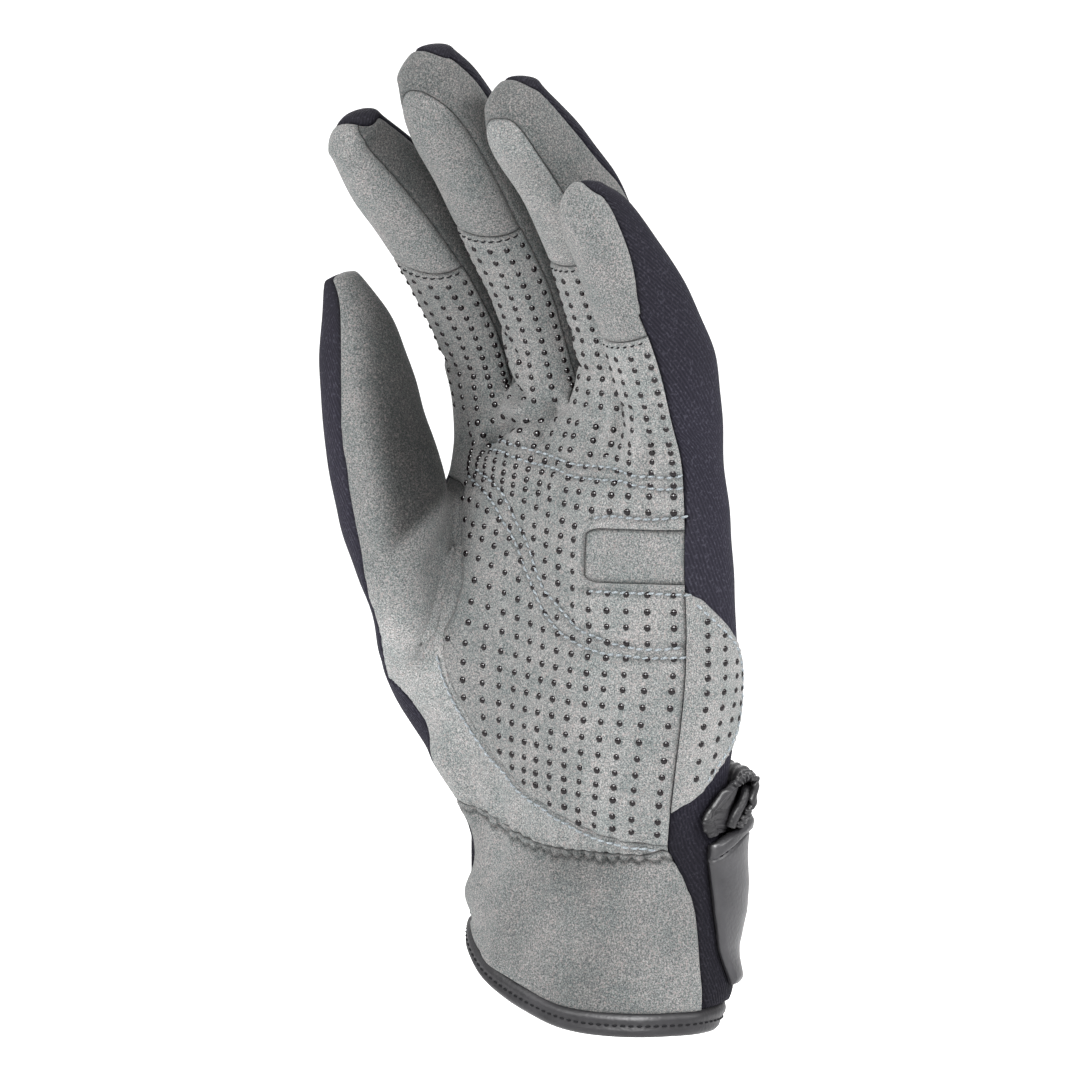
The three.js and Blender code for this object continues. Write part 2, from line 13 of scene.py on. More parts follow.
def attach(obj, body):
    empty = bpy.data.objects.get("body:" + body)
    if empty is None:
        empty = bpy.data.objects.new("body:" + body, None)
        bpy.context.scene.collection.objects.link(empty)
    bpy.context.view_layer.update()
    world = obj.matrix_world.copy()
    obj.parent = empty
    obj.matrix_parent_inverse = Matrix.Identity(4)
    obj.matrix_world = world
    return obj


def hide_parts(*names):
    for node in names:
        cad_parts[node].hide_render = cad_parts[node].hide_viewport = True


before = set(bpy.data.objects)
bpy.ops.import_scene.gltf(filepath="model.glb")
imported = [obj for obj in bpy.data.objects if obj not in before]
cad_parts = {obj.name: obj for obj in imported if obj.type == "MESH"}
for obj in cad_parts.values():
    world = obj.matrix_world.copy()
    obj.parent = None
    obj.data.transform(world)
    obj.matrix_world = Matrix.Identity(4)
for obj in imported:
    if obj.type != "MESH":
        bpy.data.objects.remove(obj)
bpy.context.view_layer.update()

mm = 0.001  # every size below is in millimetres until it reaches Blender


# The net of the glove: the same sections and centre lines as the solids

skin = {
    "roundness": 2.3,
    "fingerRoundness": 2.3,
    "wall": 1.6,
    "gap": 0.12,
    "levels": 3,
    "rootHeight": 141,
    "columnWidth": 4.2,
    "thumbLean": 16,
    "thumbHole": {"first": 34, "last": 38},
}
palmColumns = ("z", "x", "y", "half", "palm", "back", "hem", "ball", "tilt", "edge")
palmRows = [dict(zip(palmColumns, row)) for row in (
    (-1.5, -0.8, -0.9, 34.4, 22.8, 22.4, 1.00, 0, 0, 12),
    (3.5, -0.8, -0.9, 34.2, 22.6, 22.3, 0.97, 0, 0, 12),
    (14, -1.0, -0.9, 33.6, 22.3, 22.1, 0.74, 0, 0.6, 12),
    (25, -1.2, -0.9, 33.2, 22.0, 22.0, 0.45, 0, 2, 13),
    (35, -1.4, -1.0, 33.2, 21.6, 21.8, 0.20, 0, 4, 15),
    (45, -1.6, -1.3, 33.8, 21.6, 21.4, 0.05, 1.5, 5, 20),
    (55, -1.6, -1.8, 36.4, 21.8, 20.6, 0, 7.0, 4, 22),
    (66, -1.2, -2.2, 39.0, 21.6, 19.8, 0, 14.5, 2, 23),
    (77, -0.9, -2.4, 40.8, 21.2, 19.0, 0, 18.5, 0, 23),
    (89, -0.9, -2.5, 41.4, 20.4, 18.2, 0, 15.0, 0, 23),
    (101, -1.2, -2.9, 41.2, 19.6, 17.2, 0, 9.0, 0, 23),
    (113.8, -1.2, -3.4, 41.0, 18.2, 16.4, 0, 3.0, 0, 23),
    (119.5, -1.0, -3.8, 40.8, 17.4, 16.1, 0, 0.5, 0, 23),
    (130.5, -0.4, -4.7, 41.1, 15.4, 15.1, 0, 0, 0, 24),
)]
# centre lines: x, y, z, half width, half thickness
fingers = [
    {"name": "index", "seam": 0.56, "slant": -4.5, "padSide": 7, "tipPad": 2, "stations": (
        (-31.0, -1.5, 138, 10.1, 12.0), (-30.9, -3.8, 149, 10.1, 11.8), (-30.8, -9.0, 160, 9.9, 11.2),
        (-30.6, -17.0, 171, 9.7, 10.8), (-30.4, -27.0, 182, 9.5, 10.6), (-30.1, -38.0, 192, 9.1, 10.0),
        (-29.8, -50.5, 202.5, 6.0, 6.8))},
    {"name": "middle", "seam": 0.55, "slant": -2.5, "padSide": 7, "tipPad": 1, "stations": (
        (-10.4, -2.0, 141, 10.1, 12.2), (-10.4, -5.2, 154, 10.0, 12.0), (-10.2, -11.0, 168, 9.8, 11.4),
        (-10.0, -19.5, 181, 9.6, 11.2), (-9.8, -29.5, 195, 9.5, 11.0), (-9.6, -40.5, 209, 8.9, 10.4),
        (-9.6, -47.5, 217.5, 5.8, 7.2))},
    {"name": "ring", "seam": 0.485, "slant": 0, "padSide": 8, "tipPad": 1, "stations": (
        (10.4, -1.0, 140, 10.1, 12.2), (10.4, -3.2, 152, 10.1, 12.0), (10.3, -7.6, 166, 9.9, 11.5),
        (10.2, -14.0, 179, 9.7, 11.0), (10.0, -22.8, 192, 9.4, 10.3), (9.8, -34.0, 204, 8.6, 9.0),
        (9.8, -39.0, 210.5, 5.8, 6.6))},
    {"name": "little", "seam": 0.445, "slant": 0, "padSide": 8, "tipPad": 2, "stations": (
        (31.2, -8.0, 136, 10.0, 12.2), (31.2, -11.0, 147, 10.1, 12.2), (31.0, -15.5, 158, 9.8, 11.6),
        (30.7, -21.5, 168, 9.3, 10.6), (30.4, -27.5, 176.5, 8.6, 9.2), (30.0, -33.3, 183.6, 7.6, 8.0),
        (30.0, -37.6, 188.2, 5.0, 5.4))},
]
thumb = {
    "stations": (
        (-24.0, -14.0, 76, 15.0, 14.0), (-29.5, -22.5, 90, 14.5, 14.0), (-34.3, -28.0, 105, 13.6, 13.6),
        (-37.6, -31.2, 121, 12.7, 12.7), (-40.6, -34.0, 136, 11.6, 11.5), (-42.7, -35.4, 149, 10.1, 10.0),
        (-44.4, -37.0, 160, 7.4, 7.6), (-46.0, -39.2, 169, 3.6, 4.2)),
    "shares": (0.30, 0.37, 0.45, 0.53, 0.61, 0.69, 0.77, 0.85, 0.91, 0.96, 1),
    "blend": (0.5, 0.85, 1),
    "yaw": 8,
}


def withRows(rows, heights):
    # more rows where the skin is finely puckered
    made = list(rows)
    for z in heights:
        i = next(i for i, row in enumerate(made) if row["z"] > z)
        low, high = made[i - 1], made[i]
        t = (z - low["z"]) / (high["z"] - low["z"])
        made.insert(i, {key: low[key] + (high[key] - low[key]) * t for key in low})
    return made


palmRows = withRows(palmRows, (40, 42.6, 47.2, 50.5))
rootRow = len(palmRows)
rowHeights = [row["z"] for row in palmRows] + [skin["rootHeight"]]
skin["thumbHole"]["low"] = rowHeights.index(77)
skin["thumbHole"]["high"] = rowHeights.index(119.5)
cornerBack, cornerRadial = math.radians(32), math.radians(36)


def unit(v):
    v = np.asarray(v, float)
    return v / np.maximum(np.linalg.norm(v, axis=-1, keepdims=True), 1e-12)


def rounded(angle, power):
    c, s = math.cos(angle), math.sin(angle)
    return math.copysign(abs(c) ** (2 / power), c), math.copysign(abs(s) ** (2 / power), s)


def palmPoint(row, column):
    # columns 0-16 back, 16-20 outer edge, 20-36 palm, 36-40 thumb edge
    power = skin["roundness"]
    outerEdge = math.radians(row["edge"])

    def flat(start, end, share, side):
        a, b = rounded(start, power)[0], rounded(end, power)[0]
        x = a + (b - a) * share
        return x, side * (1 - abs(x) ** power) ** (1 / power)

    if column <= 16:
        x, y = flat(math.pi - cornerBack, cornerBack, column / 16, 1)
    elif column < 20:
        x, y = rounded(cornerBack - (outerEdge + cornerBack) * (column - 16) / 4, power)
    elif column <= 36:
        x, y = flat(-outerEdge, -(math.pi - cornerRadial), (column - 20) / 16, -1)
    else:
        start = -(math.pi - cornerRadial)
        x, y = rounded(start - (cornerBack + cornerRadial) * (column - 36) / 4, power)
    bulge = row["ball"] * math.exp(-((column - 36) / 3.8) ** 2)
    px = row["x"] + row["half"] * x - bulge * 0.72
    py = row["y"] + (row["back"] if y > 0 else row["palm"]) * y - bulge * 0.69
    rise = 1.16 * math.log(1 + math.exp((10 - px) / 4)) + 5 * math.exp(-((column - 36.5) / 3) ** 2)
    tilt = row["tilt"] * px / 34 * (1 if y < 0 else 0.3)
    return np.array([px, py, row["z"] + rise * row["hem"] - tilt])


class CentreLine:
    def __init__(self, stations):
        given = np.array(stations, float)
        p = np.vstack([2 * given[0] - given[1], given, 2 * given[-1] - given[-2]])
        t = np.linspace(0, 1, 24, endpoint=False)[:, None]
        runs = [0.5 * (2 * p[i] + (p[i + 1] - p[i - 1]) * t
                       + (2 * p[i - 1] - 5 * p[i] + 4 * p[i + 1] - p[i + 2]) * t ** 2
                       + (3 * p[i] - p[i - 1] - 3 * p[i + 1] + p[i + 2]) * t ** 3)
                for i in range(1, len(p) - 2)]
        self.fine = np.vstack(runs + [given[-1:]])
        steps = np.linalg.norm(np.diff(self.fine[:, :3], axis=0), axis=1)
        self.along = np.concatenate([[0], np.cumsum(steps)])
        self.length = self.along[-1]

    def at(self, s):
        if s <= 0:
            return self.fine[0] + (self.fine[1] - self.fine[0]) * s / self.along[1]
        return np.array([np.interp(s, self.along, column) for column in self.fine.T])

    def direction(self, s):
        return unit(self.at(min(s + 0.5, self.length))[:3] - self.at(max(s - 0.5, 0))[:3])


def ringPoint(line, s, k, yaw=0.0):
    # point k of 16: 0-4 back, 4-8 outer side, 8-12 pad, 12-16 thumb side
    x, y = rounded(math.radians(135 - 22.5 * k + yaw), skin["fingerRoundness"])
    station, along = line.at(s), line.direction(s)
    across = np.array([1.0, 0, 0])
    across = unit(across - along * across.dot(along))
    up = np.cross(along, across)
    return station[:3] + across * station[3] * x + up * station[4] * y


class Net:
    def __init__(self):
        self.points, self.index, self.quads, self.cells = [], {}, [], []

    def add(self, key, point):
        if key not in self.index:
            self.index[key] = len(self.points)
            self.points.append(np.array(point, float))

    def at(self, key):
        return self.points[self.index[key]]

    def quad(self, keys, zone, row, column):
        self.quads.append([self.index[key] for key in keys])
        self.cells.append((zone, row, column))

    def tube(self, zone, rows, key, along, bulge):
        for r in range(rows):
            for k in range(16):
                self.quad((key(r, k), key(r + 1, k), key(r + 1, k + 1), key(r, k + 1)), zone, r, k)
        self.closeTip(zone, [key(rows, k) for k in range(16)], along, bulge)

    def closeTip(self, zone, ring, along, bulge):
        def cell(i, j):
            if j == 0:
                return ring[i]
            if i == 4:
                return ring[4 + j]
            if j == 4:
                return ring[12 - i]
            if i == 0:
                return ring[(16 - j) % 16]
            return zone, "tip", i, j

        for i in (1, 2, 3):
            for j in (1, 2, 3):
                p = (self.at(cell(i, 0)) * (4 - j) + self.at(cell(i, 4)) * j) / 8
                p = p + (self.at(cell(0, j)) * (4 - i) + self.at(cell(4, j)) * i) / 8
                share = 1 if i == j == 2 else 0.85 if 2 in (i, j) else 0.7
                self.add(cell(i, j), p + along * bulge * share)
        for i in range(4):
            for j in range(4):
                keys = (cell(i, j), cell(i, j + 1), cell(i + 1, j + 1), cell(i + 1, j))
                self.quad(keys, zone + "Tip", j, i)


def palmKey(r, c):
    return "palm", r, c % 40


def rootKey(f, k):
    k %= 16
    if k <= 4:
        return palmKey(rootRow, 4 * f + k)
    if k < 8:
        return palmKey(rootRow, 12 + k) if f == 3 else ("web", f, k - 4)
    if k <= 12:
        return palmKey(rootRow, 32 - 4 * f + k - 8)
    return palmKey(rootRow, 24 + k) if f == 0 else ("web", f - 1, 16 - k)


def fingerShares(seam):
    return np.concatenate([np.linspace(0, seam, 5), np.linspace(seam, 0.82, 5)[1:], [0.9, 0.95, 0.985, 1]])


def buildNet():
    net = Net()
    hole = skin["thumbHole"]
    lines = [CentreLine(finger["stations"]) for finger in fingers]
    rings = []
    for finger, line in zip(fingers, lines):
        ring = []
        for share in fingerShares(finger["seam"]):
            slant = finger["slant"] * math.sin(math.pi * share)
            ring.append([ringPoint(line,
                                   share * line.length + slant * math.cos(math.radians(135 - 22.5 * k)), k)
                         for k in range(16)])
        rings.append(ring)
    for r, row in enumerate(palmRows):
        for c in range(40):
            if not (hole["low"] < r < hole["high"] and hole["first"] < c < hole["last"]):
                net.add(palmKey(r, c), palmPoint(row, c))
    shared = {}
    for f, ring in enumerate(rings):
        for k in range(16):
            shared.setdefault(rootKey(f, k), []).append(ring[0][k])
    for key, points in shared.items():
        net.add(key, np.mean(points, axis=0))
    for r in range(rootRow):
        for c in range(40):
            if not (hole["low"] <= r < hole["high"] and hole["first"] <= c < hole["last"]):
                net.quad((palmKey(r, c), palmKey(r + 1, c), palmKey(r + 1, c + 1), palmKey(r, c + 1)),
                         "palm", r, c)
    for f, (finger, line) in enumerate(zip(fingers, lines)):
        rows = len(rings[f]) - 1

        def key(r, k, f=f, name=finger["name"]):
            return rootKey(f, k) if r == 0 else (name, r, k % 16)

        for r in range(1, rows + 1):
            for k in range(16):
                net.add(key(r, k), rings[f][r][k])
        net.tube(finger["name"], rows, key, line.direction(line.length), 3)
    addThumb(net, hole)
    easeRoots(net, hole)
    return net


def addThumb(net, hole):
    line = CentreLine(thumb["stations"])
    edge = ([palmKey(hole["high"], hole["last"] - k) for k in range(4)]
            + [palmKey(hole["high"] - k, hole["first"]) for k in range(4)]
            + [palmKey(hole["low"], hole["first"] + k) for k in range(4)]
            + [palmKey(hole["low"] + k, hole["last"]) for k in range(4)])

    def key(r, k):
        return edge[k % 16] if r == 0 else ("thumb", r, k % 16)

    for i, share in enumerate(thumb["shares"]):
        lean = skin["thumbLean"] * max(0, 1 - i / 7) ** 1.5
        for k in range(16):
            s = share * line.length + lean * math.sin(math.radians(135 - 22.5 * k))
            p = ringPoint(line, s, k, thumb["yaw"])
            if i < 3:
                p = p + (net.at(edge[k]) - p) * (1 - thumb["blend"][i])
            net.add(key(i + 1, k), p)
    net.tube("thumb", len(thumb["shares"]), key, line.direction(line.length), 1.2)


def easeRoots(net, hole):
    near = [set() for _ in net.points]
    for quad in net.quads:
        for i in range(4):
            near[quad[i]].update((quad[(i + 1) % 4], quad[i - 1]))
    ease = np.zeros(len(net.points))
    for key, v in net.index.items():
        zone, r = key[0], key[1]
        if zone == "web":
            ease[v] = 0.5
        elif zone == "palm":
            ease[v] = 0.5 if r >= rootRow - 1 else 0.25 if r == rootRow - 2 else 0
            if hole["low"] - 1 <= r <= hole["high"] + 1 and hole["first"] - 1 <= key[2] <= hole["last"] + 1:
                ease[v] = 0.5
        elif r == "tip":
            continue
        elif zone == "thumb":
            ease[v] = 0.5 if r < 3 else 0
        elif r == 1:
            ease[v] = 0.3
    points = np.array(net.points)
    for _ in range(3):
        middle = np.array([points[list(n)].mean(axis=0) for n in near])
        points += (middle - points) * ease[:, None]
    net.points = points


# Smooth skin: the net subdivided, with the place of every corner kept

def subdivide(points, quads, places):
    count = len(points)
    after = np.roll(quads, -1, axis=1)
    keys = np.minimum(quads, after) * count + np.maximum(quads, after)
    edges, edgeOf = np.unique(keys, return_inverse=True)
    edgeOf = edgeOf.reshape(quads.shape)
    ends = np.stack([edges // count, edges % count], axis=1)
    faceMid = points[quads].mean(axis=1)
    uses = np.bincount(edgeOf.ravel(), minlength=len(edges))
    faceSum = np.zeros((len(edges), 3))
    np.add.at(faceSum, edgeOf.ravel(), np.repeat(faceMid, 4, axis=0))
    middle = points[ends].mean(axis=1)
    edgePoint = np.where((uses == 2)[:, None], (middle * 2 + faceSum) / 4, middle)
    faces = np.bincount(quads.ravel(), minlength=count)
    faceTotal = np.zeros((count, 3))
    np.add.at(faceTotal, quads.ravel(), np.repeat(faceMid, 4, axis=0))
    spokes = np.bincount(ends.ravel(), minlength=count)
    midTotal = np.zeros((count, 3))
    np.add.at(midTotal, ends.ravel(), np.repeat(middle, 2, axis=0))
    n = spokes[:, None]
    moved = (faceTotal / faces[:, None] + 2 * midTotal / n + (n - 3) * points) / n
    rim = ends[uses == 1]
    rimTotal = np.zeros((count, 3))
    np.add.at(rimTotal, rim.ravel(), np.repeat(middle[uses == 1], 2, axis=0))
    onRim = np.zeros(count, bool)
    onRim[rim.ravel()] = True
    moved = np.where(onRim[:, None], points / 2 + rimTotal / 4, moved)
    edgeId = count + edgeOf
    faceId = (count + len(edges) + np.arange(len(quads)))[:, None].repeat(4, axis=1)
    children = np.stack([quads, edgeId, faceId, np.roll(edgeId, 1, axis=1)], axis=2).reshape(-1, 4)
    halfway = (places + np.roll(places, -1, axis=1)) / 2
    centre = places.mean(axis=1, keepdims=True).repeat(4, axis=1)
    placed = np.stack([places, halfway, centre, np.roll(halfway, 1, axis=1)], axis=2).reshape(-1, 4, 2)
    return np.vstack([moved, edgePoint, faceMid]), children, placed


def refine(points, quads, places):
    for _ in range(skin["levels"]):
        points, quads, places = subdivide(points, quads, places)
    return points, quads, places


def smoothSkin(net):
    # the net is swollen first, so that the smooth skin passes through its points
    quads = np.array(net.quads)
    cells = np.array([(r, c) for _, r, c in net.cells], float)
    places = cells[:, None, :] + np.array([(0, 0), (1, 0), (1, 1), (0, 1)], float)[None]
    cage = net.points.copy()
    for _ in range(2):
        cage += (net.points - refine(cage, quads, places)[0][:len(cage)]) * 0.9
    return refine(cage, quads, places)


def vertexNormals(points, polygons):
    normals = np.zeros_like(points)
    for size in (3, 4, 5, 6):
        group = np.array([p for p in polygons if len(p) == size])
        if not len(group):
            continue
        p = points[group]
        n = sum(np.cross(p[:, i] - p[:, 0], p[:, i + 1] - p[:, 0]) for i in range(1, size - 1))
        np.add.at(normals, group.ravel(), np.repeat(n, size, axis=0))
    return unit(normals)


net = buildNet()
points, quads, corners = smoothSkin(net)
zoneOf = np.array([cell[0] for cell in net.cells]).repeat(4 ** skin["levels"])
cellRow = np.array([cell[1] for cell in net.cells]).repeat(4 ** skin["levels"])
cellColumn = np.array([cell[2] for cell in net.cells]).repeat(4 ** skin["levels"])
print("skin:", len(points), "points", len(quads), "quads")


def gridOf(zone):
    # skin points of a zone as a table, eight steps to a cell
    mine = zoneOf == zone
    at = np.rint(corners[mine].reshape(-1, 2) * 8).astype(int)
    table = np.full(at.max(axis=0) + 1, -1)
    table[at[:, 0], at[:, 1]] = quads[mine].ravel()
    return table


grids = {zone: gridOf(zone) for zone in sorted(set(zoneOf))}


def heightRow(height):
    return float(np.interp(height, rowHeights, range(rootRow + 1)))


def onSkin(zone, row, column):
    # point and normal of the skin at a place; on the palm, row is a nominal height
    table = grids[zone]
    r = (heightRow(row) if zone == "palm" else row) * 8
    c = column * 8
    r = min(max(r, 0), table.shape[0] - 1.001)
    c = min(max(c, 0), table.shape[1] - 1.001)
    i, j = int(r), int(c)
    u, v = r - i, c - j
    around = ((table[i, j], (1 - u) * (1 - v)), (table[i + 1, j], u * (1 - v)),
              (table[i, j + 1], (1 - u) * v), (table[i + 1, j + 1], u * v))
    p, n, total = np.zeros(3), np.zeros(3), 0
    for vertex, weight in around:
        if vertex >= 0:
            p += points[vertex] * weight
            n += normals[vertex] * weight
            total += weight
    return p / max(total, 1e-6), unit(n)


def alongSkin(path, step=0.35, zone="palm"):
    # points and normals every step millimetres along (column, height) corners, or (row, column) off the palm
    found = []
    for a, b in zip(path[:-1], path[1:]):
        for t in np.linspace(0, 1, 12, endpoint=False):
            at = [a[0] + (b[0] - a[0]) * t, a[1] + (b[1] - a[1]) * t]
            found.append(onSkin(zone, at[1], at[0]))
    found.append(onSkin(zone, path[-1][1], path[-1][0]))
    return evenly(np.array([f[0] for f in found]), np.array([f[1] for f in found]), step)


def evenly(p, n, step):
    # a line of points and normals sampled again every step millimetres
    length = np.concatenate([[0], np.cumsum(np.linalg.norm(np.diff(p, axis=0), axis=1))])
    s = np.arange(0, length[-1], step)
    pick = np.stack([np.interp(s, length, column) for column in np.hstack([p, n]).T], axis=1)
    return pick[:, :3], unit(pick[:, 3:])


# Folds, gathers and sewn channels pressed into the skin

normals = vertexNormals(points, quads)
palmHere = np.zeros(len(points), bool)
column, height = np.zeros(len(points)), np.zeros(len(points))
palmQuads = zoneOf == "palm"
column[quads[palmQuads].ravel()] = corners[palmQuads][..., 1].ravel() % 40
height[quads[palmQuads].ravel()] = np.interp(corners[palmQuads][..., 0].ravel(), range(rootRow + 1),
                                             rowHeights)
palmHere[quads[palmQuads].ravel()] = True

folds = {
    "lump": 0.5,
    "scallop": 1.1,
    "pitDepth": 0.85,
    "waist": 0.9,
    "radiate": 0.85,
    "cuffFold": 1.0,
    "hemDraw": 2.6,
}
# the gathered line below the palm, as (column, height), and the length of its scallops
gatherLine = ((18, 45.5), (20, 45.3), (21.1, 43.2), (22.9, 42.6), (25.1, 41.3), (27.8, 40.3), (30.2, 41.3),
              (33, 43.5), (36.5, 44))
scallopLength = ((20, 2.7), (24, 3.3), (31, 4.0))
# stitched lines across the palm, as (column, height)
pairA = (((33.2, 134.1), (31.5, 132.8), (29.4, 131.3), (27.8, 129.6), (26.5, 128.4), (24.9, 128.1),
          (23.6, 128.3),
          (22.1, 126.8), (20.8, 126.1), (19.9, 126.9)),
         ((32.6, 130.9), (31.2, 130.1), (29.3, 128.1), (27.6, 126.9), (26, 125), (24.4, 124.6), (23.1, 125.1),
          (22.1, 123.7), (21.1, 122.6), (19.9, 123.1)))
pairB = (((33.4, 125.7), (32, 122.7), (30.8, 119.1), (30, 115.3), (29.2, 111.4), (28.6, 107), (28.2, 103.3),
          (27.5, 98.9), (26.3, 94.9), (25.3, 90.6), (24.2, 89.1), (23.1, 87.5), (22, 86.8), (21, 86.7),
          (19.9, 87.4)),
         ((34, 123.8), (32.4, 119.6), (31.3, 116.6), (30.3, 112.6), (29.5, 108), (28.9, 103.1), (28.2, 98.7),
          (27.5, 94.1), (26.3, 89.4), (24.9, 86.6), (23.7, 85.3), (22.5, 85.1), (21.5, 84.6), (19.9, 84.9)))
windowStitches = (((19.8, 116), (21.4, 115.4), (23.5, 115.9), (24.7, 115.2)),
                  ((19.7, 98.9), (21.1, 99.2), (23.3, 99.3), (25.1, 99.2)))
# creases, as (zone, depth, width, path); a negative depth is a ridge
creases = (
    ("palm", 1.5, 2.0, ((24.2, 143), (24.3, 137), (24.6, 132))),
    ("palm", 1.6, 2.2, ((28.2, 143), (28.6, 139), (28.8, 134))),
    ("palm", 1.2, 2.2, ((32.2, 143), (32.6, 138), (33, 131))),
    ("palm", -1.1, 2.2, ((26.2, 146), (26.4, 138), (26.6, 130), (27.2, 122))),
    ("palm", 0.9, 1.5, ((25.1, 146), (25.2, 138), (25.4, 130))),
    ("palm", -1.0, 2.4, ((22.2, 146), (22.3, 137), (22.6, 128))),
    ("palm", 0.7, 1.5, ((21.2, 142), (21.3, 136), (21.6, 129))),
    ("palm", -0.8, 2.6, ((30.3, 146), (30.4, 138), (30.2, 131))),
    ("palm", 1.0, 2.4, ((31.4, 137.5), (32.6, 135), (34.6, 133))),
    ("palm", 2.0, 1.7, ((28.6, 140.8), (29.6, 139.0), (31.2, 136.6), (33, 134.2))),
    ("middle", 1.8, 1.6, ((12, 0.6), (11, 0.4), (10, 0.2))),
    ("palm", -1.1, 2.4, ((30.2, 142), (31.4, 140), (33.4, 137.6))),
    ("palm", 0.2, 2.2, ((33.6, 112), (33, 103), (32.6, 92))),
    ("palm", 0.35, 0.9, ((33.1, 84), (33.3, 76), (33.2, 68), (32.6, 61))),
    ("palm", 1.5, 6.5, ((35.5, 76), (34.8, 71), (34.4, 65))),
    ("palm", -1.8, 6.0, ((34.0, 55), (34.3, 50), (34.6, 46))),
    ("palm", -1.3, 4.0, ((34, 104), (34, 96), (34, 88))),
    ("thumb", -2.1, 7.0, ((10.4, 0.6), (10.2, 1.4), (10.0, 2.4))),
    ("palm", 0.45, 1.6, ((23.4, 128), (23.2, 112), (23.6, 98))),
    ("palm", 0.4, 1.6, ((26.6, 122), (26.0, 106), (25.6, 93))),
    ("middle", 1.1, 1.4, ((12.4, 2.0), (11, 1.5), (10, 1.0))),
    ("middle", 0.8, 1.5, ((13.0, 1.2), (11.6, 0.7), (10.2, 0.3))),
    ("ring", 0.7, 1.4, ((12.0, 1.3), (10.8, 1.1), (9.2, 1.0))),
    ("ring", 0.6, 1.4, ((11.6, 2.1), (10.4, 2.0), (8.8, 1.9))),
    ("index", 0.7, 1.5, ((12.4, 1.4), (10.6, 1.2), (9.0, 1.1))),
    ("little", 0.6, 1.5, ((12.4, 1.3), (10.6, 1.2), (8.6, 1.2))),
    ("thumb", 0.6, 2.4, ((3.2, 2.6), (5.0, 2.2), (7.0, 2.0))),
)


def waves(p, length, seed):
    # smooth lumps about length millimetres across, from -1 to 1
    dice = random.Random(seed)
    total = np.zeros(len(p))
    for _ in range(7):
        way = unit([dice.gauss(0, 1), dice.gauss(0, 1), dice.gauss(0, 1)])
        pace, start = dice.uniform(0.75, 1.3), dice.uniform(0, 2 * math.pi)
        total += np.sin(p @ way * (2 * math.pi / length * pace) + start)
    return total / 4


def press(shift, line, depth, width):
    # a soft groove along a line of points
    low, high = line.min(axis=0) - width * 3, line.max(axis=0) + width * 3
    near = np.flatnonzero(((points > low) & (points < high)).all(axis=1))
    for part in np.array_split(near, max(1, len(near) // 1500)):
        d = np.linalg.norm(points[part][:, None] - line[None], axis=2).min(axis=1)
        shift[part] -= depth * np.exp(-(d / width) ** 2)


def gatherAt(column, height):
    # distance from the gathered line, phase of the scallops along it, and a mask of the pits below them
    grid = np.linspace(18, 38, 400)
    turns = np.cumsum(skin["columnWidth"] * (grid[1] - grid[0]) / np.interp(grid, *zip(*scallopLength)))
    phase = 2 * math.pi * np.interp(column, grid, turns)
    off = height - np.interp(column, *zip(*gatherLine)) - 0.35 * np.sin(column * 2.1)
    lower = off + 1.2 + 1.1 * np.abs(np.cos(phase / 2))
    upper = off - 1.3 + 0.8 * np.abs(np.sin(phase / 2))
    return off, phase, np.exp(-(lower / 0.6) ** 2) + 0.2 * np.exp(-(upper / 0.55) ** 2)


def foldSkin():
    shift = folds["lump"] * waves(points, 34, 5) + folds["lump"] * 0.45 * waves(points, 13, 6)
    for zone, depth, width, path in creases:
        press(shift, alongSkin(path, 0.6, zone)[0], depth * 1.25, width)
    for line in pairA + pairB + windowStitches:
        press(shift, alongSkin(line, 0.6)[0], 0.75, 0.75)
    # scallops along the gathered line, with pits below them and wrinkles fanning out above
    onFront = palmHere & (column > 18.8) & (column < 36.5)
    share = np.clip((column - 19.6) / 0.8, 0, 1) * np.clip((35.5 - column) / 2.5, 0, 1) * onFront
    off, phase, pit = gatherAt(column, height)
    lobe = np.abs(np.cos(phase / 2)) ** 0.6 - 0.6
    shift += share * folds["scallop"] * lobe * np.exp(-((off - 0.4) / 2.4) ** 2)
    shift -= share * (folds["pitDepth"] * pit + folds["waist"] * np.exp(-(off / 6) ** 2))
    fan = np.cos(phase / 2 + off * 0.16) * np.clip(np.abs(off) / 3, 0, 1)
    shift += share * folds["radiate"] * fan * np.exp(-np.abs(off) / np.where(off > 0, 8, 5))
    # slanting folds on the cuff
    s = column * skin["columnWidth"]
    cuff = onFront & (off < 0) & (height > 4)
    slant = np.sin((s * 0.75 + height * 1.25) / 5.2 + 1.6 * np.sin(height / 14))
    shift += cuff * folds["cuffFold"] * slant * np.clip((column - 22) / 8, 0, 1) * np.clip(-off / 20, 0, 1)
    shift += cuff * 0.3 * waves(points, 14, 9)
    # the hem draws in at the outer edge of the back
    outerBack = np.exp(-((column - 15) / 4) ** 2) * palmHere
    shift -= folds["hemDraw"] * outerBack * np.clip(1 - height / 5.5, 0, 1) ** 1.3
    shift += 1.3 * outerBack * np.exp(-((height - 9) / 4) ** 2)
    return shift


points = points + normals * foldSkin()[:, None]
normals = vertexNormals(points, quads)
print("skin folded")


# Panels cut from the skin, each a closed wall with turned edges

gripEdge = ((36, 120.5), (34.3, 117.5), (33.4, 113), (32.6, 104.5), (32.3, 99), (32.4, 93), (32.7, 88),
            (32.6, 82.5),
            (32.3, 78), (32, 73.5), (31.7, 69), (31.3, 64.5), (30.6, 59.5), (28.9, 53.9), (26.1, 49.3),
            (23.8, 46.9), (22, 46.1), (18, 46.1))
gripArea = gripEdge + ((10, 46.1), (10, 160), (37, 160), (37, 120.5))
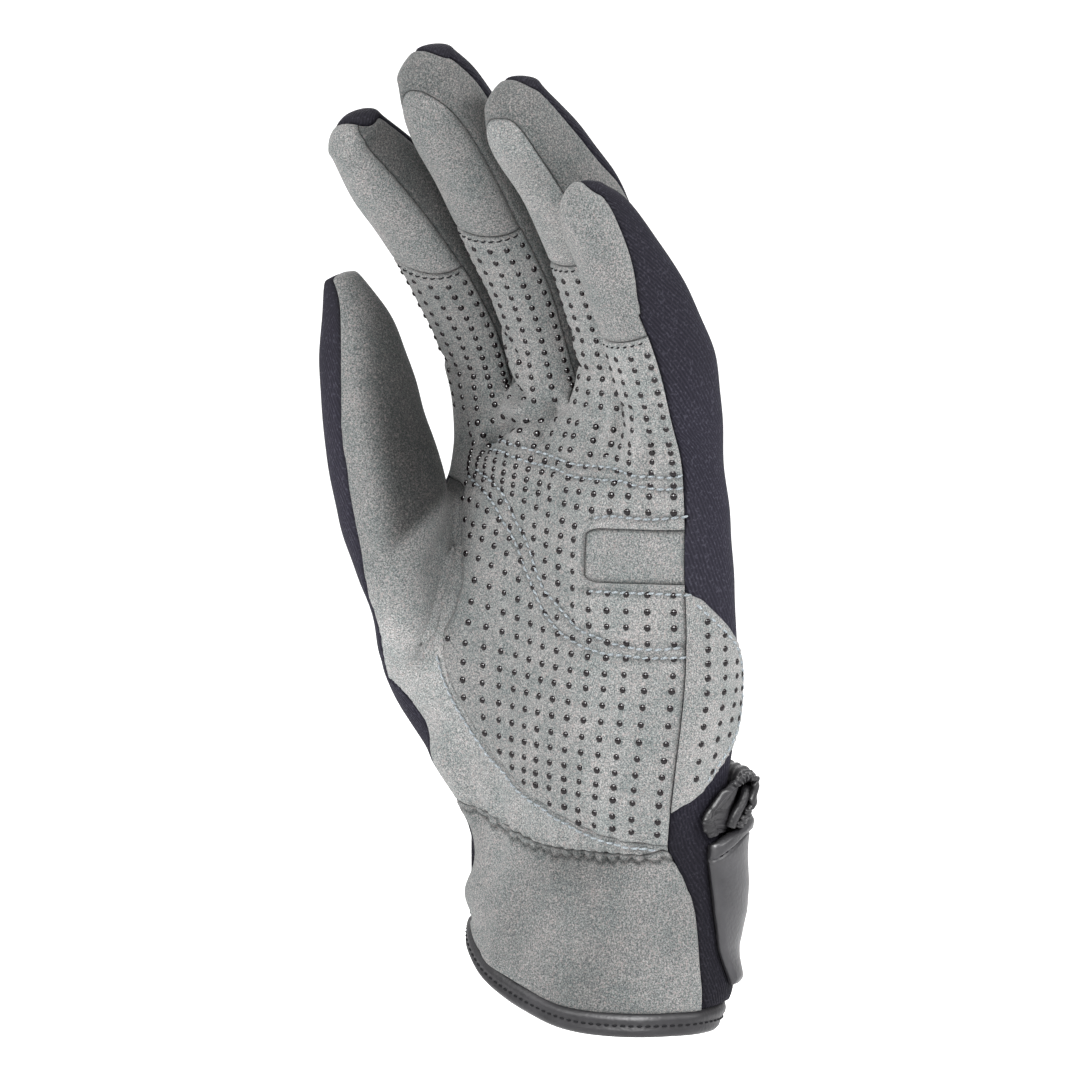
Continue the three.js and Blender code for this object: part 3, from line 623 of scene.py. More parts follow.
# the seams between suede and the navy back, below the thumb and along the outer edge of the cuff
suedeArea = ((10, 30), (35.2, 30), (35.1, 46), (34.8, 51), (34.5, 56), (34.4, 61), (34.6, 66), (34.9, 71),
             (35.3, 75), (35.6, 78), (35.8, 81), (35.8, 100), (36.5, 119), (36.5, 160), (10, 160))
cuffArea = ((20, 45.3), (19.9, 43.5), (19.5, 39), (19.1, 33), (19, 28), (19, 0), (36.2, 0), (36, 14),
            (35.7, 22), (35.4, 30), (35.2, 36), (35.1, 44), (33, 43.5), (30.2, 41.3), (27.8, 40.3),
            (25.1, 41.3), (22.9, 42.6), (21.1, 43.2))
windowEdge = ((19, 113.8), (24.3, 113.8), (24.8, 113.2), (25, 112.2), (25, 102.6), (24.8, 101.6),
              (24.3, 101), (19, 101))
sidePatchEdge = ((20.6, 101), (19.3, 98), (18.4, 93), (17.3, 87), (16.5, 80.5), (16.35, 74), (16.75, 67.5),
                 (17.6, 62.4),
                 (18.6, 57.4), (20.6, 52.4))


def inside(outline, where):
    # signed distance in millimetres to an outline of (column, height), positive inside
    p = where * (skin["columnWidth"], 1)
    q = np.array(outline, float) * (skin["columnWidth"], 1)
    best, winding = np.full(len(p), 1e9), np.zeros(len(p), bool)
    for a, b in zip(np.roll(q, 1, axis=0), q):
        d = b - a
        t = np.clip(((p - a) @ d) / (d @ d), 0, 1)
        best = np.minimum(best, np.linalg.norm(a + t[:, None] * d - p, axis=1))
        if a[1] != b[1]:
            crosses = (a[1] > p[:, 1]) != (b[1] > p[:, 1])
            winding ^= crosses & (p[:, 0] < a[0] + d[0] * (p[:, 1] - a[1]) / d[1])
    return np.where(winding, best, -best)


class Cloth:
    # skin points that panels share; cutting adds points and slides those that lie near the line

    def __init__(self):
        self.p = list(points)
        self.n = list(normals)
        self.where = np.stack([column, height], axis=1).tolist()
        self.fields = []

    def cut(self, polygons, outline):
        used = sorted({v for polygon in polygons for v in polygon})
        value = dict(zip(used, inside(outline, np.array([self.where[v] for v in used]))))

        def middle(polygon):
            return inside(outline, np.mean([self.where[v] for v in polygon], axis=0)[None])[0]

        sides = self.split(polygons, value, middle)
        return [[polygon for polygon, source in side] for side in sides]

    def split(self, polygons, value, middle):
        # both sides of the line where value is 0, as (polygon, number of the polygon that it comes from)
        slide = {}
        for polygon in polygons:
            signs = [value[v] > 0 for v in polygon]
            if all(signs) or not any(signs):
                continue
            for i, v in enumerate(polygon):
                for w in (polygon[i - 1], polygon[(i + 1) % len(polygon)]):
                    if value[v] * value[w] < 0:
                        t = value[v] / (value[v] - value[w])
                        if t < 0.35 and t < slide.get(v, (0, 1))[1]:
                            slide[v] = (w, t)
        moved = [(v, self.mix(v, w, t)) for v, (w, t) in slide.items()]
        for v, (p, n, where, extra) in moved:
            self.p[v], self.n[v], self.where[v] = p, n, where
            self.setFields(v, extra)
            value[v] = 0
        made, sides = {}, ([], [])
        for source, polygon in enumerate(polygons):
            signs = {value[v] > 0 for v in polygon if value[v]}
            if len(signs) < 2:
                first = signs.pop() if signs else middle(polygon) > 0
                sides[0 if first else 1].append((polygon, source))
                continue
            parts = ([], [])
            for i, v in enumerate(polygon):
                w = polygon[(i + 1) % len(polygon)]
                if value[v] >= 0:
                    parts[0].append(v)
                if value[v] <= 0:
                    parts[1].append(v)
                if value[v] * value[w] < 0:
                    key = (min(v, w), max(v, w))
                    if key not in made:
                        p, n, where, extra = self.mix(*key, value[key[0]] / (value[key[0]] - value[key[1]]))
                        made[key] = len(self.p)
                        self.p.append(p)
                        self.n.append(n)
                        self.where.append(where)
                        self.setFields(made[key], extra)
                    parts[0].append(made[key])
                    parts[1].append(made[key])
            for side, part in zip(sides, parts):
                if len(part) > 2:
                    side.append((tuple(part), source))
        return sides

    def mix(self, v, w, t):
        where = [a + (b - a) * t for a, b in zip(self.where[v], self.where[w])]
        extra = [f.get(v, 0) + (f.get(w, 0) - f.get(v, 0)) * t for f in self.fields]
        normal = unit(self.n[v] + (self.n[w] - self.n[v]) * t)
        return self.p[v] + (self.p[w] - self.p[v]) * t, normal, where, extra

    def setFields(self, v, extra):
        for field, value in zip(self.fields, extra):
            field[v] = value


cloth = Cloth()
fingerNames = [finger["name"] for finger in fingers]
fingerLengths = {finger["name"]: CentreLine(finger["stations"]).length for finger in fingers}
fingerSeams = {finger["name"]: fingerShares(finger["seam"]) for finger in fingers}
clothPlace = np.zeros(corners.shape)
for zone in sorted(set(zoneOf)):
    mine = zoneOf == zone
    rows, columns = corners[mine][..., 0], corners[mine][..., 1]
    if zone == "palm":
        across, up = columns * skin["columnWidth"], np.interp(rows, range(rootRow + 1), rowHeights)
    elif zone in fingerNames:
        across = columns * 3.8 + 20 * fingerNames.index(zone)
        up = 141 + np.interp(rows, range(13), fingerSeams[zone]) * fingerLengths[zone]
    elif zone == "thumb":
        across, up = columns * 4.4, 90 + rows * 9
    else:
        across, up = columns * 3.8, 200 + rows * 3
    clothPlace[mine] = np.stack([across, up], axis=-1)
quadPlace = {tuple(quad): place for quad, place in zip(quads.tolist(), clothPlace)}


def pick(zone, test):
    mine = (zoneOf == zone) & test
    return [tuple(quad) for quad in quads[mine].tolist()]


def addMesh(name, vertices, faces, places=None):
    mesh = bpy.data.meshes.new(name)
    mesh.from_pydata((np.asarray(vertices) * mm).tolist(), [], faces)
    mesh.polygons.foreach_set("use_smooth", [True] * len(mesh.polygons))
    if places is not None:
        layer = mesh.uv_layers.new(name="cloth")
        layer.data.foreach_set("uv", (np.asarray(places, float) * mm * 10).ravel())
    mesh.update()
    obj = bpy.data.objects.new(name, mesh)
    bpy.context.scene.collection.objects.link(obj)
    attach(obj, "root")
    return obj


def rimOf(polygons):
    edges = {}
    for polygon in polygons:
        for i, v in enumerate(polygon):
            edges[v, polygon[(i + 1) % len(polygon)]] = True
    return [(v, w) for v, w in edges if (w, v) not in edges]


whereOf = {}


def panel(name, polygons, look, rise=None):
    # a closed wall over polygons of the skin, with its rim turned down by look["turn"]
    used = sorted({v for polygon in polygons for v in polygon})
    slot = {v: i for i, v in enumerate(used)}
    p = np.array([cloth.p[v] for v in used])
    n = np.array([cloth.n[v] for v in used])
    rim = rimOf(polygons)
    ends = np.array([(slot[v], slot[w]) for v, w in rim])
    pull = np.zeros_like(p)
    for end in (0, 1):
        at = ends[:, end]
        np.add.at(pull, at, unit(np.cross(n[at], p[ends[:, 1]] - p[ends[:, 0]])))
    length = np.linalg.norm(pull, axis=1, keepdims=True)
    pull = np.divide(pull, np.maximum(length, 0.7) ** 2 / 2) / 2
    tree = KDTree(len(rim) * 5)
    samples = [p[a] + (p[b] - p[a]) * t for a, b in ends for t in (0, 0.2, 0.4, 0.6, 0.8)]
    for i, sample in enumerate(samples):
        tree.insert(sample, i)
    tree.balance()
    reach = max(look["turnWidth"], look.get("rimWidth", 0)) * 2
    distance = np.array([min(tree.find(q)[2], reach) for q in p])
    drop = look["turn"] * np.clip(1 - distance / look["turnWidth"], 0, 1) ** 2
    top = np.full(len(used), float(look["top"])) - drop
    if look.get("rim"):
        top += look["rim"] * np.exp(-((distance - look["rimWidth"]) / (look["rimWidth"] * 0.6)) ** 2)
    if rise is not None:
        top += rise(np.array([cloth.where[v] for v in used]), p)
    inner = p + n * look["bottom"]
    p = p + pull * look.get("draw", skin["gap"])
    inner = inner + pull * look.get("draw", skin["gap"])
    outer = p + n * top[:, None]
    count = len(used)
    outerFaces = [tuple(slot[v] for v in polygon) for polygon in polygons]
    innerFaces = [tuple(i + count for i in reversed(face)) for face in outerFaces]
    walls = [(b, a, a + count, b + count) for a, b in ends.tolist()]
    places = []
    for polygon in polygons:
        here = quadPlace.get(polygon)
        if here is None:
            here = [(cloth.where[v][0] * skin["columnWidth"], cloth.where[v][1]) for v in polygon]
        places.append([tuple(place) for place in here])
    flat = [place for face in places for place in face]
    flat += [place for face in places for place in reversed(face)]
    for v, w in rim:
        a, b = [(cloth.where[u][0] * skin["columnWidth"], cloth.where[u][1]) for u in (v, w)]
        flat += [b, a, a, b]
    obj = addMesh(name, np.vstack([outer, inner]), outerFaces + innerFaces + walls, flat)
    whereOf[name] = np.array([cloth.where[v] for v in used] * 2)
    print("made", name, len(obj.data.polygons))
    return obj


heightsOf = np.array(rowHeights + [200.0])
cellHeight = heightsOf[np.minimum(cellRow, rootRow)]
onFront = (cellColumn >= 20) & (cellColumn < 36)
aboveGather = cellHeight >= 45

gripSide, thenar = cloth.cut(pick("palm", onFront & aboveGather), gripArea)
window, grip = cloth.cut(gripSide, windowEdge)
below = (cellColumn >= 17) & (cellColumn < 36) & (cellHeight >= 3.5) & ~aboveGather
cuff, around = cloth.cut(pick("palm", below), cuffArea)
suedeSide, edgeStrip = cloth.cut(thenar + around, suedeArea)


def onPalmSide(polygon):
    column, height = np.mean([cloth.where[v][:2] for v in polygon], axis=0)
    return column > 20 and height > 36


thenar = [polygon for polygon in suedeSide if onPalmSide(polygon)]
edgeStrip += [polygon for polygon in suedeSide if not onPalmSide(polygon)]
patch = cloth.cut(pick("palm",
                       (cellHeight >= 45) & (cellHeight <= 101) & (cellColumn >= 15) & (cellColumn < 20)),
                  sidePatchEdge)[0]

suedePanel = {"top": 0, "bottom": -skin["wall"], "turn": 0.5, "turnWidth": 0.7}
dottedPanel = {"top": 0.35, "bottom": -skin["wall"], "turn": 0.45, "turnWidth": 0.6}
navyPanel = {"top": -0.15, "bottom": -skin["wall"], "turn": 0.8, "turnWidth": 1.1}
insetPanel = {"top": -1.0, "bottom": -skin["wall"], "turn": 0, "turnWidth": 0.5}
gussetPanel = {"top": -0.2, "bottom": -1.3, "turn": 0.7, "turnWidth": 1.2}
padPanel = {"top": 0.15, "bottom": -skin["wall"], "turn": 0.9, "turnWidth": 1.8}
# which cloth covers each finger: k of the pad's outer seam, and rows of the tip that stay navy
tipPad = {"index": 2, "middle": 1.5, "ring": 1.4, "little": 1}
backWider = {"index": 0, "middle": 0.8, "ring": 0.9, "little": 0}
padSide = {finger["name"]: finger["padSide"] for finger in fingers}
padEnd = {"index": 20, "middle": 11.1, "ring": 11.3, "little": 20}
littleSeam = ((4, 8), (5, 7.9), (6, 7.4), (8, 6.4), (10, 5.7), (12, 5.2))
thumbSeam = ((0, 9.7), (1, 9.9), (2, 10.3), (3, 10.7), (6, 10.25), (9, 9.4), (11, 8.8))
placeMid = corners.mean(axis=1)


def spread(polygons, mask, passes, fixed):
    # mask averaged over the polygons' points many times, which rounds its outline
    used = np.array(sorted({v for polygon in polygons for v in polygon}))
    slot = {v: i for i, v in enumerate(used)}
    faces = np.array([[slot[v] for v in polygon] for polygon in polygons])
    weight = np.bincount(faces.ravel(), minlength=len(used))
    value = np.bincount(faces.ravel(), weights=np.repeat(mask, 4), minlength=len(used)) / weight
    start = value.copy()
    hold = np.array([fixed(v) for v in used])
    for _ in range(passes):
        face = value[faces].mean(axis=1)
        value = np.bincount(faces.ravel(), weights=np.repeat(face, 4), minlength=len(used)) / weight
        value = value + (start - value) * hold
    return {v: 0.0 if abs(x) < 1e-9 else x for v, x in zip(used.tolist(), value)}


fingerStrips, navySides = [], []
fingerCloth = {name: {"navy": [], "pad": [], "outer": [], "inner": []} for name in fingerNames}
rowAt = {}
for quad, row, zone in zip(quads.tolist(), corners[..., 0].tolist(), zoneOf):
    if zone in fingerNames or zone == "thumb":
        rowAt.update(zip(quad, row))
for name in fingerNames:
    onPad = (cellColumn >= padSide[name]) & (cellColumn < 12)
    fingerStrips += pick(name, onPad & (cellRow < 4))
    around = cellColumn < (8 if name == "little" else 4)
    if name == "index":
        around |= cellColumn >= 12
    low = cellRow < 5
    fingerCloth[name]["navy"] += pick(name, around & low)
    fingerCloth[name]["pad"] += pick(name, onPad & (cellRow == 4))
    fingerCloth[name]["outer"] += pick(name, ~around & low & (cellColumn >= 4) & (cellColumn < padSide[name]))
    fingerCloth[name]["inner"] += pick(name, ~around & low & (cellColumn >= 12))
    # above row 5 the outlines are rounded
    upper = ((zoneOf == name) & (cellRow >= 5)) | (zoneOf == name + "Tip")
    onTip = (zoneOf == name + "Tip")[upper]
    r, k = placeMid[upper].T
    polygons = [tuple(quad) for quad in quads[upper].tolist()]
    if name == "little":
        navy = np.where(onTip, (r < 1) | ((r < 2) & (k > 3)), k < np.interp(r, *zip(*littleSeam)))
    else:
        wider = 4 + backWider[name] * np.clip((r - 5) / 2, 0, 1)
        navy = np.where(onTip, r < tipPad[name], around[upper] | (k < wider))
    end = padEnd[name] - 1.9 * ((k - 9.8) / 2.6) ** 2
    pad = np.where(onTip, ((k < 3) | (r >= 3)) & (padEnd[name] > 12),
                   (k >= padSide[name]) & (k < 12) & (r < end))
    inner = np.where(onTip, k < 1, k >= 12)
    if name == "little":
        pad = onTip | (k < 12.4)
    cloth.fields = [spread(polygons, np.where(navy, 1.0, -1.0), 60, lambda v: float(rowAt.get(v, 12) < 5.5)),
                    spread(polygons, np.where(pad, 1.0, -1.0), 110, lambda v: float(rowAt.get(v, 12) < 5.5))]
    navySide, rest = cloth.split(polygons, cloth.fields[0], lambda polygon: 1)
    fingerCloth[name]["navy"] += [polygon for polygon, source in navySide]
    origin = [source for polygon, source in rest]
    padPart, sidePart = cloth.split([polygon for polygon, source in rest], cloth.fields[1], lambda polygon: 1)
    fingerCloth[name]["pad"] += [polygon for polygon, source in padPart]
    for polygon, source in sidePart:
        side = "inner" if inner[origin[source]] and padEnd[name] > 12 and name != "index" else "outer"
        if name == "little":
            side = "inner"
        fingerCloth[name][side].append(polygon)

onThumb = (zoneOf == "thumb") | (zoneOf == "thumbTip")
r, k = placeMid[onThumb].T
seam = np.interp(r, *zip(*thumbSeam))
tip = (zoneOf == "thumbTip")[onThumb]
navy = np.where(tip, k < 2, (k < 2) | (k >= seam))
polygons = [tuple(quad) for quad in quads[onThumb].tolist()]
cloth.fields = [spread(polygons, np.where(navy, 1.0, -1.0), 40, lambda v: float(rowAt.get(v, 12) < 0.5))]
navySide, rest = cloth.split(polygons, cloth.fields[0], lambda polygon: 1)
thumbNavy = [polygon for polygon, source in navySide]
thumbSuede = [polygon for polygon, source in rest]
cloth.fields = []

pieces = {}
navySides = [polygon for name in fingerNames for polygon in fingerCloth[name]["navy"]]
backCells = ~onFront & (cellHeight >= 3.5) & ~below
pieces["navy_back"] = panel("navy_back", pick("palm", backCells) + edgeStrip + navySides + thumbNavy,
                            navyPanel)
pieces["palm_grip"] = panel("palm_grip", grip + fingerStrips, dottedPanel)
pieces["palm_window"] = panel("palm_window", window, insetPanel)
pieces["thumb_suede"] = panel("thumb_suede", thenar + thumbSuede, suedePanel)
pieces["cuff_suede"] = panel("cuff_suede", cuff, suedePanel)
for name in fingerNames:
    pieces[name + "_tip"] = panel(name + "_tip", fingerCloth[name]["pad"], padPanel)
for name, after in zip(fingerNames, fingerNames[1:]):
    strip = fingerCloth[name]["outer"] + fingerCloth[after]["inner"]
    pieces["gusset_" + name] = panel("gusset_" + name, strip, gussetPanel)
sidePanel = {"top": 0.95, "bottom": 0.05, "turn": 0.5, "turnWidth": 0.7, "rim": 0.3, "rimWidth": 0.9}
pieces["side_grip"] = panel("side_grip", patch, sidePanel)
pieces["hem_binding"] = panel("hem_binding", pick("palm", cellRow == 0), {
    "top": 0.35, "bottom": -2.2, "turn": 0.9, "turnWidth": 0.9, "draw": -0.3},
    lambda where, p: -0.4 * np.exp(-((where[:, 1] - 1.3) / 0.35) ** 2) - 0.15 * (where[:, 1] > 2.4))


# Wrist strap: a bound flap over the back of the cuff, and a puckered fold above it

def joined(first, second):
    # the second object's mesh added to the first
    mesh = bmesh.new()
    mesh.from_mesh(first.data)
    mesh.from_mesh(second.data)
    mesh.to_mesh(first.data)
    mesh.free()
    bpy.data.objects.remove(second)
    return first


def overBack(column, z):
    return onSkin("palm", z, column)


def plate(name, columns, rows, face):
    positions = [face(i / columns, j / rows, side) for side in (1, 0)
                 for i in range(columns + 1) for j in range(rows + 1)]
    size = (columns + 1) * (rows + 1)

    def at(i, j, side):
        return (1 - side) * size + i * (rows + 1) + j

    faces = []
    for i in range(columns):
        for j in range(rows):
            faces.append((at(i, j, 1), at(i, j + 1, 1), at(i + 1, j + 1, 1), at(i + 1, j, 1)))
            faces.append((at(i, j, 0), at(i + 1, j, 0), at(i + 1, j + 1, 0), at(i, j + 1, 0)))
        faces.append((at(i, 0, 1), at(i + 1, 0, 1), at(i + 1, 0, 0), at(i, 0, 0)))
        faces.append((at(i + 1, rows, 1), at(i, rows, 1), at(i, rows, 0), at(i + 1, rows, 0)))
    for j in range(rows):
        faces.append((at(0, j + 1, 1), at(0, j, 1), at(0, j, 0), at(0, j + 1, 0)))
        faces.append((at(columns, j, 1), at(columns, j + 1, 1), at(columns, j + 1, 0), at(columns, j, 0)))
    places = [(v // (rows + 1) % (columns + 1) / columns * 80,
               v % (rows + 1) / rows * 36) for face in faces for v in face]
    return addMesh(name, positions, faces, places)


flap = {"left": 0.6, "low": 9, "high": 48, "dip": 4.8, "thick": 1.8, "gap": 0.4, "band": 3.4, "raised": 0.6}
# where the free end lies, as (height, column), and how far the flap stands off, as (height, lift)
flapEnd = ((9, 17.3), (17, 17.9), (26, 18.2), (40, 18.3), (49, 18.0))
flapLift = ((9, 0.1), (17, 0.5), (24.5, 2.4), (31, 3.2), (41, 3.5), (49, 4.1))


def smooth(t):
    t = min(max(t, 0), 1)
    return t * t * (3 - 2 * t)


def flapFace(u, v, side):
    high = flap["high"] - flap["dip"] * (1 - smooth((1 - u) / 0.14))
    tall = high - flap["low"]
    z = flap["low"] + tall * v
    column = flap["left"] + (np.interp(z, *zip(*flapEnd)) - flap["left"]) * u
    p, n = overBack(column, z)
    lift = flap["gap"] + np.interp(z, *zip(*flapLift)) * min(1, 7 * (1 - u), 4 * u) ** 0.8
    if side:
        below = (1 - v) * tall
        edge = min(v * tall, below, u * 75, (1 - u) * 75)
        lift += flap["thick"] * (1 - 0.45 * max(0, 1 - edge / 1.1) ** 2)
        lift += flap["raised"] * smooth((flap["band"] - below) / 0.5 + 1)
        lift -= 1.0 * math.exp(-((below - flap["band"]) / 0.4) ** 2)
        lift += 0.22 * math.sin(u * 23 + v * 4) * math.sin(v * 5)
    return p + n * lift


def flapOn(u):
    # a point and normal on the flap's face, on the stitched line below its upper edge
    high = flap["high"] - flap["dip"] * (1 - smooth((1 - u) / 0.14))
    v = 1 - flap["band"] / (high - flap["low"])
    p = flapFace(u, v, 1)
    n = np.cross(flapFace(u, v + 0.02, 1) - p, flapFace(u + 0.005, v, 1) - p)
    return p, unit(n)


pieces["strap"] = plate("strap", 150, 110, flapFace)

# the strap's puckered fold, cut across at its free end, as (height, lift, column)
foldLeaves = {
    "outer": ((44.0, 0.9, 18.0), (50.5, 1.4, 18.85), (53.5, 1.7, 18.3), (56, 2.1, 17.5), (58.2, 3.0, 17.0),
              (58.6, 5.0, 16.55), (57.0, 6.6, 16.3), (53.5, 6.4, 16.4), (49.5, 5.4, 16.6), (46.5, 3.6, 17.1)),
    "inner": ((46.5, 2.5, 17.65), (49, 3.1, 17.55), (52, 3.8, 17.2), (54.4, 4.4, 16.8), (55.6, 4.8, 16.5)),
}
foldLook = {"first": 1.4, "thin": 0.45, "bead": 0.95, "wrinkle": 0.34, "wrinkles": 13, "ruffle": 0.45,
            "ruffles": 23,
            "pillow": 1.2}


@lru_cache(maxsize=None)
def leafAt(leaf, v):
    # the section smoothed by averaging samples close together, and its direction
    section = np.array(foldLeaves[leaf])
    along = np.linspace(0, 1, len(section))

    def at(v):
        return np.mean([[np.interp(min(max(v + d, 0), 1), along, part) for part in section.T]
                        for d in (-0.06, -0.03, 0, 0.03, 0.06)], axis=0)

    here, run = at(v), (at(v + 0.02) - at(v - 0.02))[:2]
    return here, unit(run)


def leafFace(leaf, u, v, side):
    (z, lift, end), run = leafAt(leaf, v)
    u = 1 - (1 - u) ** 1.5
    column = foldLook["first"] + (end - 0.35 * (leaf == "inner") - foldLook["first"]) * u
    fromEnd = min((1 - u) * 72, u * 72 + 0.2)
    bead = foldLook["bead"] if leaf == "outer" else foldLook["pillow"]
    bulge = math.sqrt(max(bead ** 2 - min(fromEnd - bead, bead) ** 2, 0.01)) if fromEnd < bead * 2 else 0
    half = max(bulge, min(foldLook["thin"], fromEnd * 0.5 + 0.1))
    if leaf == "inner" and fromEnd > bead:
        half = foldLook["pillow"] * (0.6 + 0.4 * math.exp(-fromEnd / 8))
    turns = foldLook["wrinkles"] * v + 0.8 * math.sin(v * 13) + 0.12 * fromEnd
    wrinkle = abs(math.sin(math.pi * turns)) * 1.6 - 1 + 0.35 * math.sin(2 * math.pi * turns * 2.6 + 1)
    near = math.exp(-(fromEnd / 4.5) ** 2) * (1 if u > 0.5 else 0.35) if leaf == "outer" else 0.15
    puckers = math.sin(2 * math.pi * foldLook["ruffles"] * u + 1.6 * math.sin(u * 19)
                       + 1.1 * math.sin(u * 43 + v * 5)
                       + 1.5 * math.sin(v * 9))
    puckers *= 0.65 + 0.35 * math.sin(u * 27 + v * 3)
    puckers = math.copysign(abs(puckers) ** 0.7, puckers) * smooth(v * 4) * smooth((1 - v) * 4)
    swell = foldLook["wrinkle"] * wrinkle * near
    swell += foldLook["ruffle"] * puckers * (1 - near) * (leaf == "outer")
    thick = half * (1 if side else -1) + swell
    column += 0.07 * wrinkle * near
    ends = min(1, 0.4 + fromEnd / 3) if u < 0.5 else 1
    p, n = overBack(column, z - run[1] * thick)
    return p + n * max((lift + run[0] * thick) * ends, 0.2)


outerLeaf = plate("strap_fold", 180, 168, lambda u, v, side: leafFace("outer", u, v, side))
innerLeaf = plate("inner_leaf", 90, 50, lambda u, v, side: leafFace("inner", u, v, side))
pieces["strap_fold"] = joined(outerLeaf, innerLeaf)
print("made the strap")


# Grip dots and stitches

class Parts:
    # many small shapes gathered into one mesh
    def __init__(self):
        self.vertices, self.faces = [], []

    def add(self, vertices, faces):
        start = len(self.vertices)
        self.vertices.extend(vertices)
        self.faces.extend(tuple(i + start for i in face) for face in faces)


def frameOn(n, along):
    side = unit(np.cross(n, along))
    return unit(np.cross(side, n)), side


def domeShape(around, rings):
    shape, faces = [], []
    for r in range(rings):
        angle = math.pi / 2 * r / rings
        shape += [(math.cos(angle) * math.cos(a), math.cos(angle) * math.sin(a), math.sin(angle))
                  for a in (2 * math.pi * k / around for k in range(around))]
    shape.append((0, 0, 1))
    for r in range(rings - 1):
        for k in range(around):
            after = (k + 1) % around
            faces.append((r * around + k, r * around + after, (r + 1) * around + after, (r + 1) * around + k))
    last = (rings - 1) * around
    faces += [(last + k, last + (k + 1) % around, len(shape) - 1) for k in range(around)]
    faces.append(tuple(reversed(range(around))))
    return np.array(shape), faces


dots = {"radius": 0.79, "height": 0.44, "sunk": 0.15, "acrossColumns": 1.08, "closing": 0.012, "rowStep": 3.6,
        "first": 20.45, "fingerColumns": 0.98, "fingerStep": 3.3,
        "fromEdge": 0.5, "fromWindow": 0.9}
# rows close up toward the cuff, and climb toward the thumb by (column, millimetres) times (height, share)
rowHeightsOfDots = np.cumsum([48.6] + [3.1] * 6 + [3.4] * 4 + [dots["rowStep"]] * 18)
dotClimb = ((24.5, 0), (27, 2.2), (33.5, 13.5))
dotClimbShare = ((62, 0), (80, 0.45), (98, 1), (112, 0.85), (128, 0.2), (140, 0))
domePoints, domeFaces = domeShape(12, 4)
dotParts = Parts()
dotDice = random.Random(11)


def addDot(p, n, top, share=1.0):
    along, side = frameOn(n, np.array([0, 0, 1.0]))
    size = dots["radius"] * dotDice.uniform(0.92, 1.08) * share
    spot = p + n * (top - dots["sunk"])
    local = domePoints * (size, size, dots["height"] + dots["sunk"])
    dotParts.add(spot + local[:, :1] * along + local[:, 1:2] * side + local[:, 2:] * n, domeFaces)


dotColumns = [dots["first"] + dots["acrossColumns"] * i - dots["closing"] * i * i for i in range(16)]
spots = [(c, h + np.interp(c, *zip(*dotClimb)) * np.interp(h, *zip(*dotClimbShare)))
         for c in dotColumns for h in rowHeightsOfDots]
spots = [(c, h) for c, h in spots if h < 139.5]
edges = inside(gripArea, np.array(spots))
holes = inside(windowEdge, np.array(spots))
for (c, h), edge, hole in zip(spots, edges, holes):
    if edge > dots["fromEdge"] and hole < -dots["fromWindow"]:
        addDot(*onSkin("palm", h, c), dottedPanel["top"])
for f, finger in enumerate(fingers):
    name = finger["name"]
    long = fingerLengths[name] * finger["seam"]
    for k in np.arange(padSide[name] + 0.4, 11.6, dots["fingerColumns"]):
        for s in np.arange(2.6, long - 2.6, dots["fingerStep"]):
            addDot(*onSkin(name, s / long * 4, k), dottedPanel["top"], 0.9)
for c in np.arange(17.0, 20, 0.72):
    for h in np.arange(51.5, 101, 3.2):
        if inside(sidePatchEdge, np.array([[c, h]]))[0] > 1.8 and c < 19.75:
            addDot(*onSkin("palm", h, c), sidePanel["top"])
pieces["grip_dots"] = addMesh("grip_dots", dotParts.vertices, dotParts.faces)
print("grip dots:", len(dotParts.faces) // len(domeFaces))


def stitchShape(long, thick, around=6, rings=7):
    # a short thread that dives into the cloth at both ends
    shape, faces = [], []
    for r in range(rings):
        t = -1 + 2 * r / (rings - 1)
        wide = thick / 2 * math.sqrt(max(1 - t * t * 0.86, 0.05))
        for k in range(around):
            a = 2 * math.pi * k / around
            shape.append((t * long / 2, wide * math.cos(a), wide * math.sin(a) + 0.2 - 0.42 * t * t))
    for r in range(rings - 1):
        for k in range(around):
            after = (k + 1) % around
            faces.append((r * around + k, (r + 1) * around + k, (r + 1) * around + after, r * around + after))
    faces.append(tuple(range(around)))
    faces.append(tuple(reversed(range((rings - 1) * around, rings * around))))
    return np.array(shape), faces


def stitchRow(parts, line, look, top, slant=0.16):
    p, n = line
    shape, faces = stitchShape(look["long"], look["thick"])
    for i in range(len(p) - 1):
        along, side = frameOn(n[i], p[i + 1] - p[i])
        turned = along * math.cos(slant) + side * math.sin(slant)
        across = side * math.cos(slant) - along * math.sin(slant)
        middle = (p[i] + p[i + 1]) / 2 + n[i] * top
        parts.add(middle + shape[:, :1] * turned + shape[:, 1:2] * across + shape[:, 2:] * n[i], faces)


def insideEdge(path, distance):
    # the path moved to its left by a distance in millimetres
    q = np.array(path, float) * (skin["columnWidth"], 1)
    run = unit(np.gradient(q, axis=0))
    q = q + np.stack([-run[:, 1], run[:, 0]], axis=1) * distance
    return [tuple(point) for point in q / (skin["columnWidth"], 1)]


paleThread = {"long": 1.9, "thick": 0.6, "step": 2.1}
fingerThread = {"long": 1.5, "thick": 0.42, "step": 1.9}
pale, dark = Parts(), Parts()
for line in pairA + pairB + windowStitches:
    stitchRow(pale, alongSkin(line, paleThread["step"]), paleThread, dottedPanel["top"])
lowerEdge = insideEdge(gripEdge[7:-1] + ((20.3, 46.1),), 1.1)
stitchRow(pale, alongSkin(lowerEdge, paleThread["step"]), paleThread, dottedPanel["top"])
stitchRow(pale, alongSkin(insideEdge(sidePatchEdge[1:-1], 1.5), paleThread["step"]), paleThread,
          sidePanel["top"])
for f, finger in enumerate(fingers):
    name = finger["name"]
    drop = 1.0 / (fingerLengths[name] * finger["seam"]) * 4
    row = [(k, 4 - drop) for k in np.linspace(padSide[name] + 0.3, 11.7, 5)]
    stitchRow(dark, alongSkin(row, fingerThread["step"], name), fingerThread, dottedPanel["top"] - 0.05)
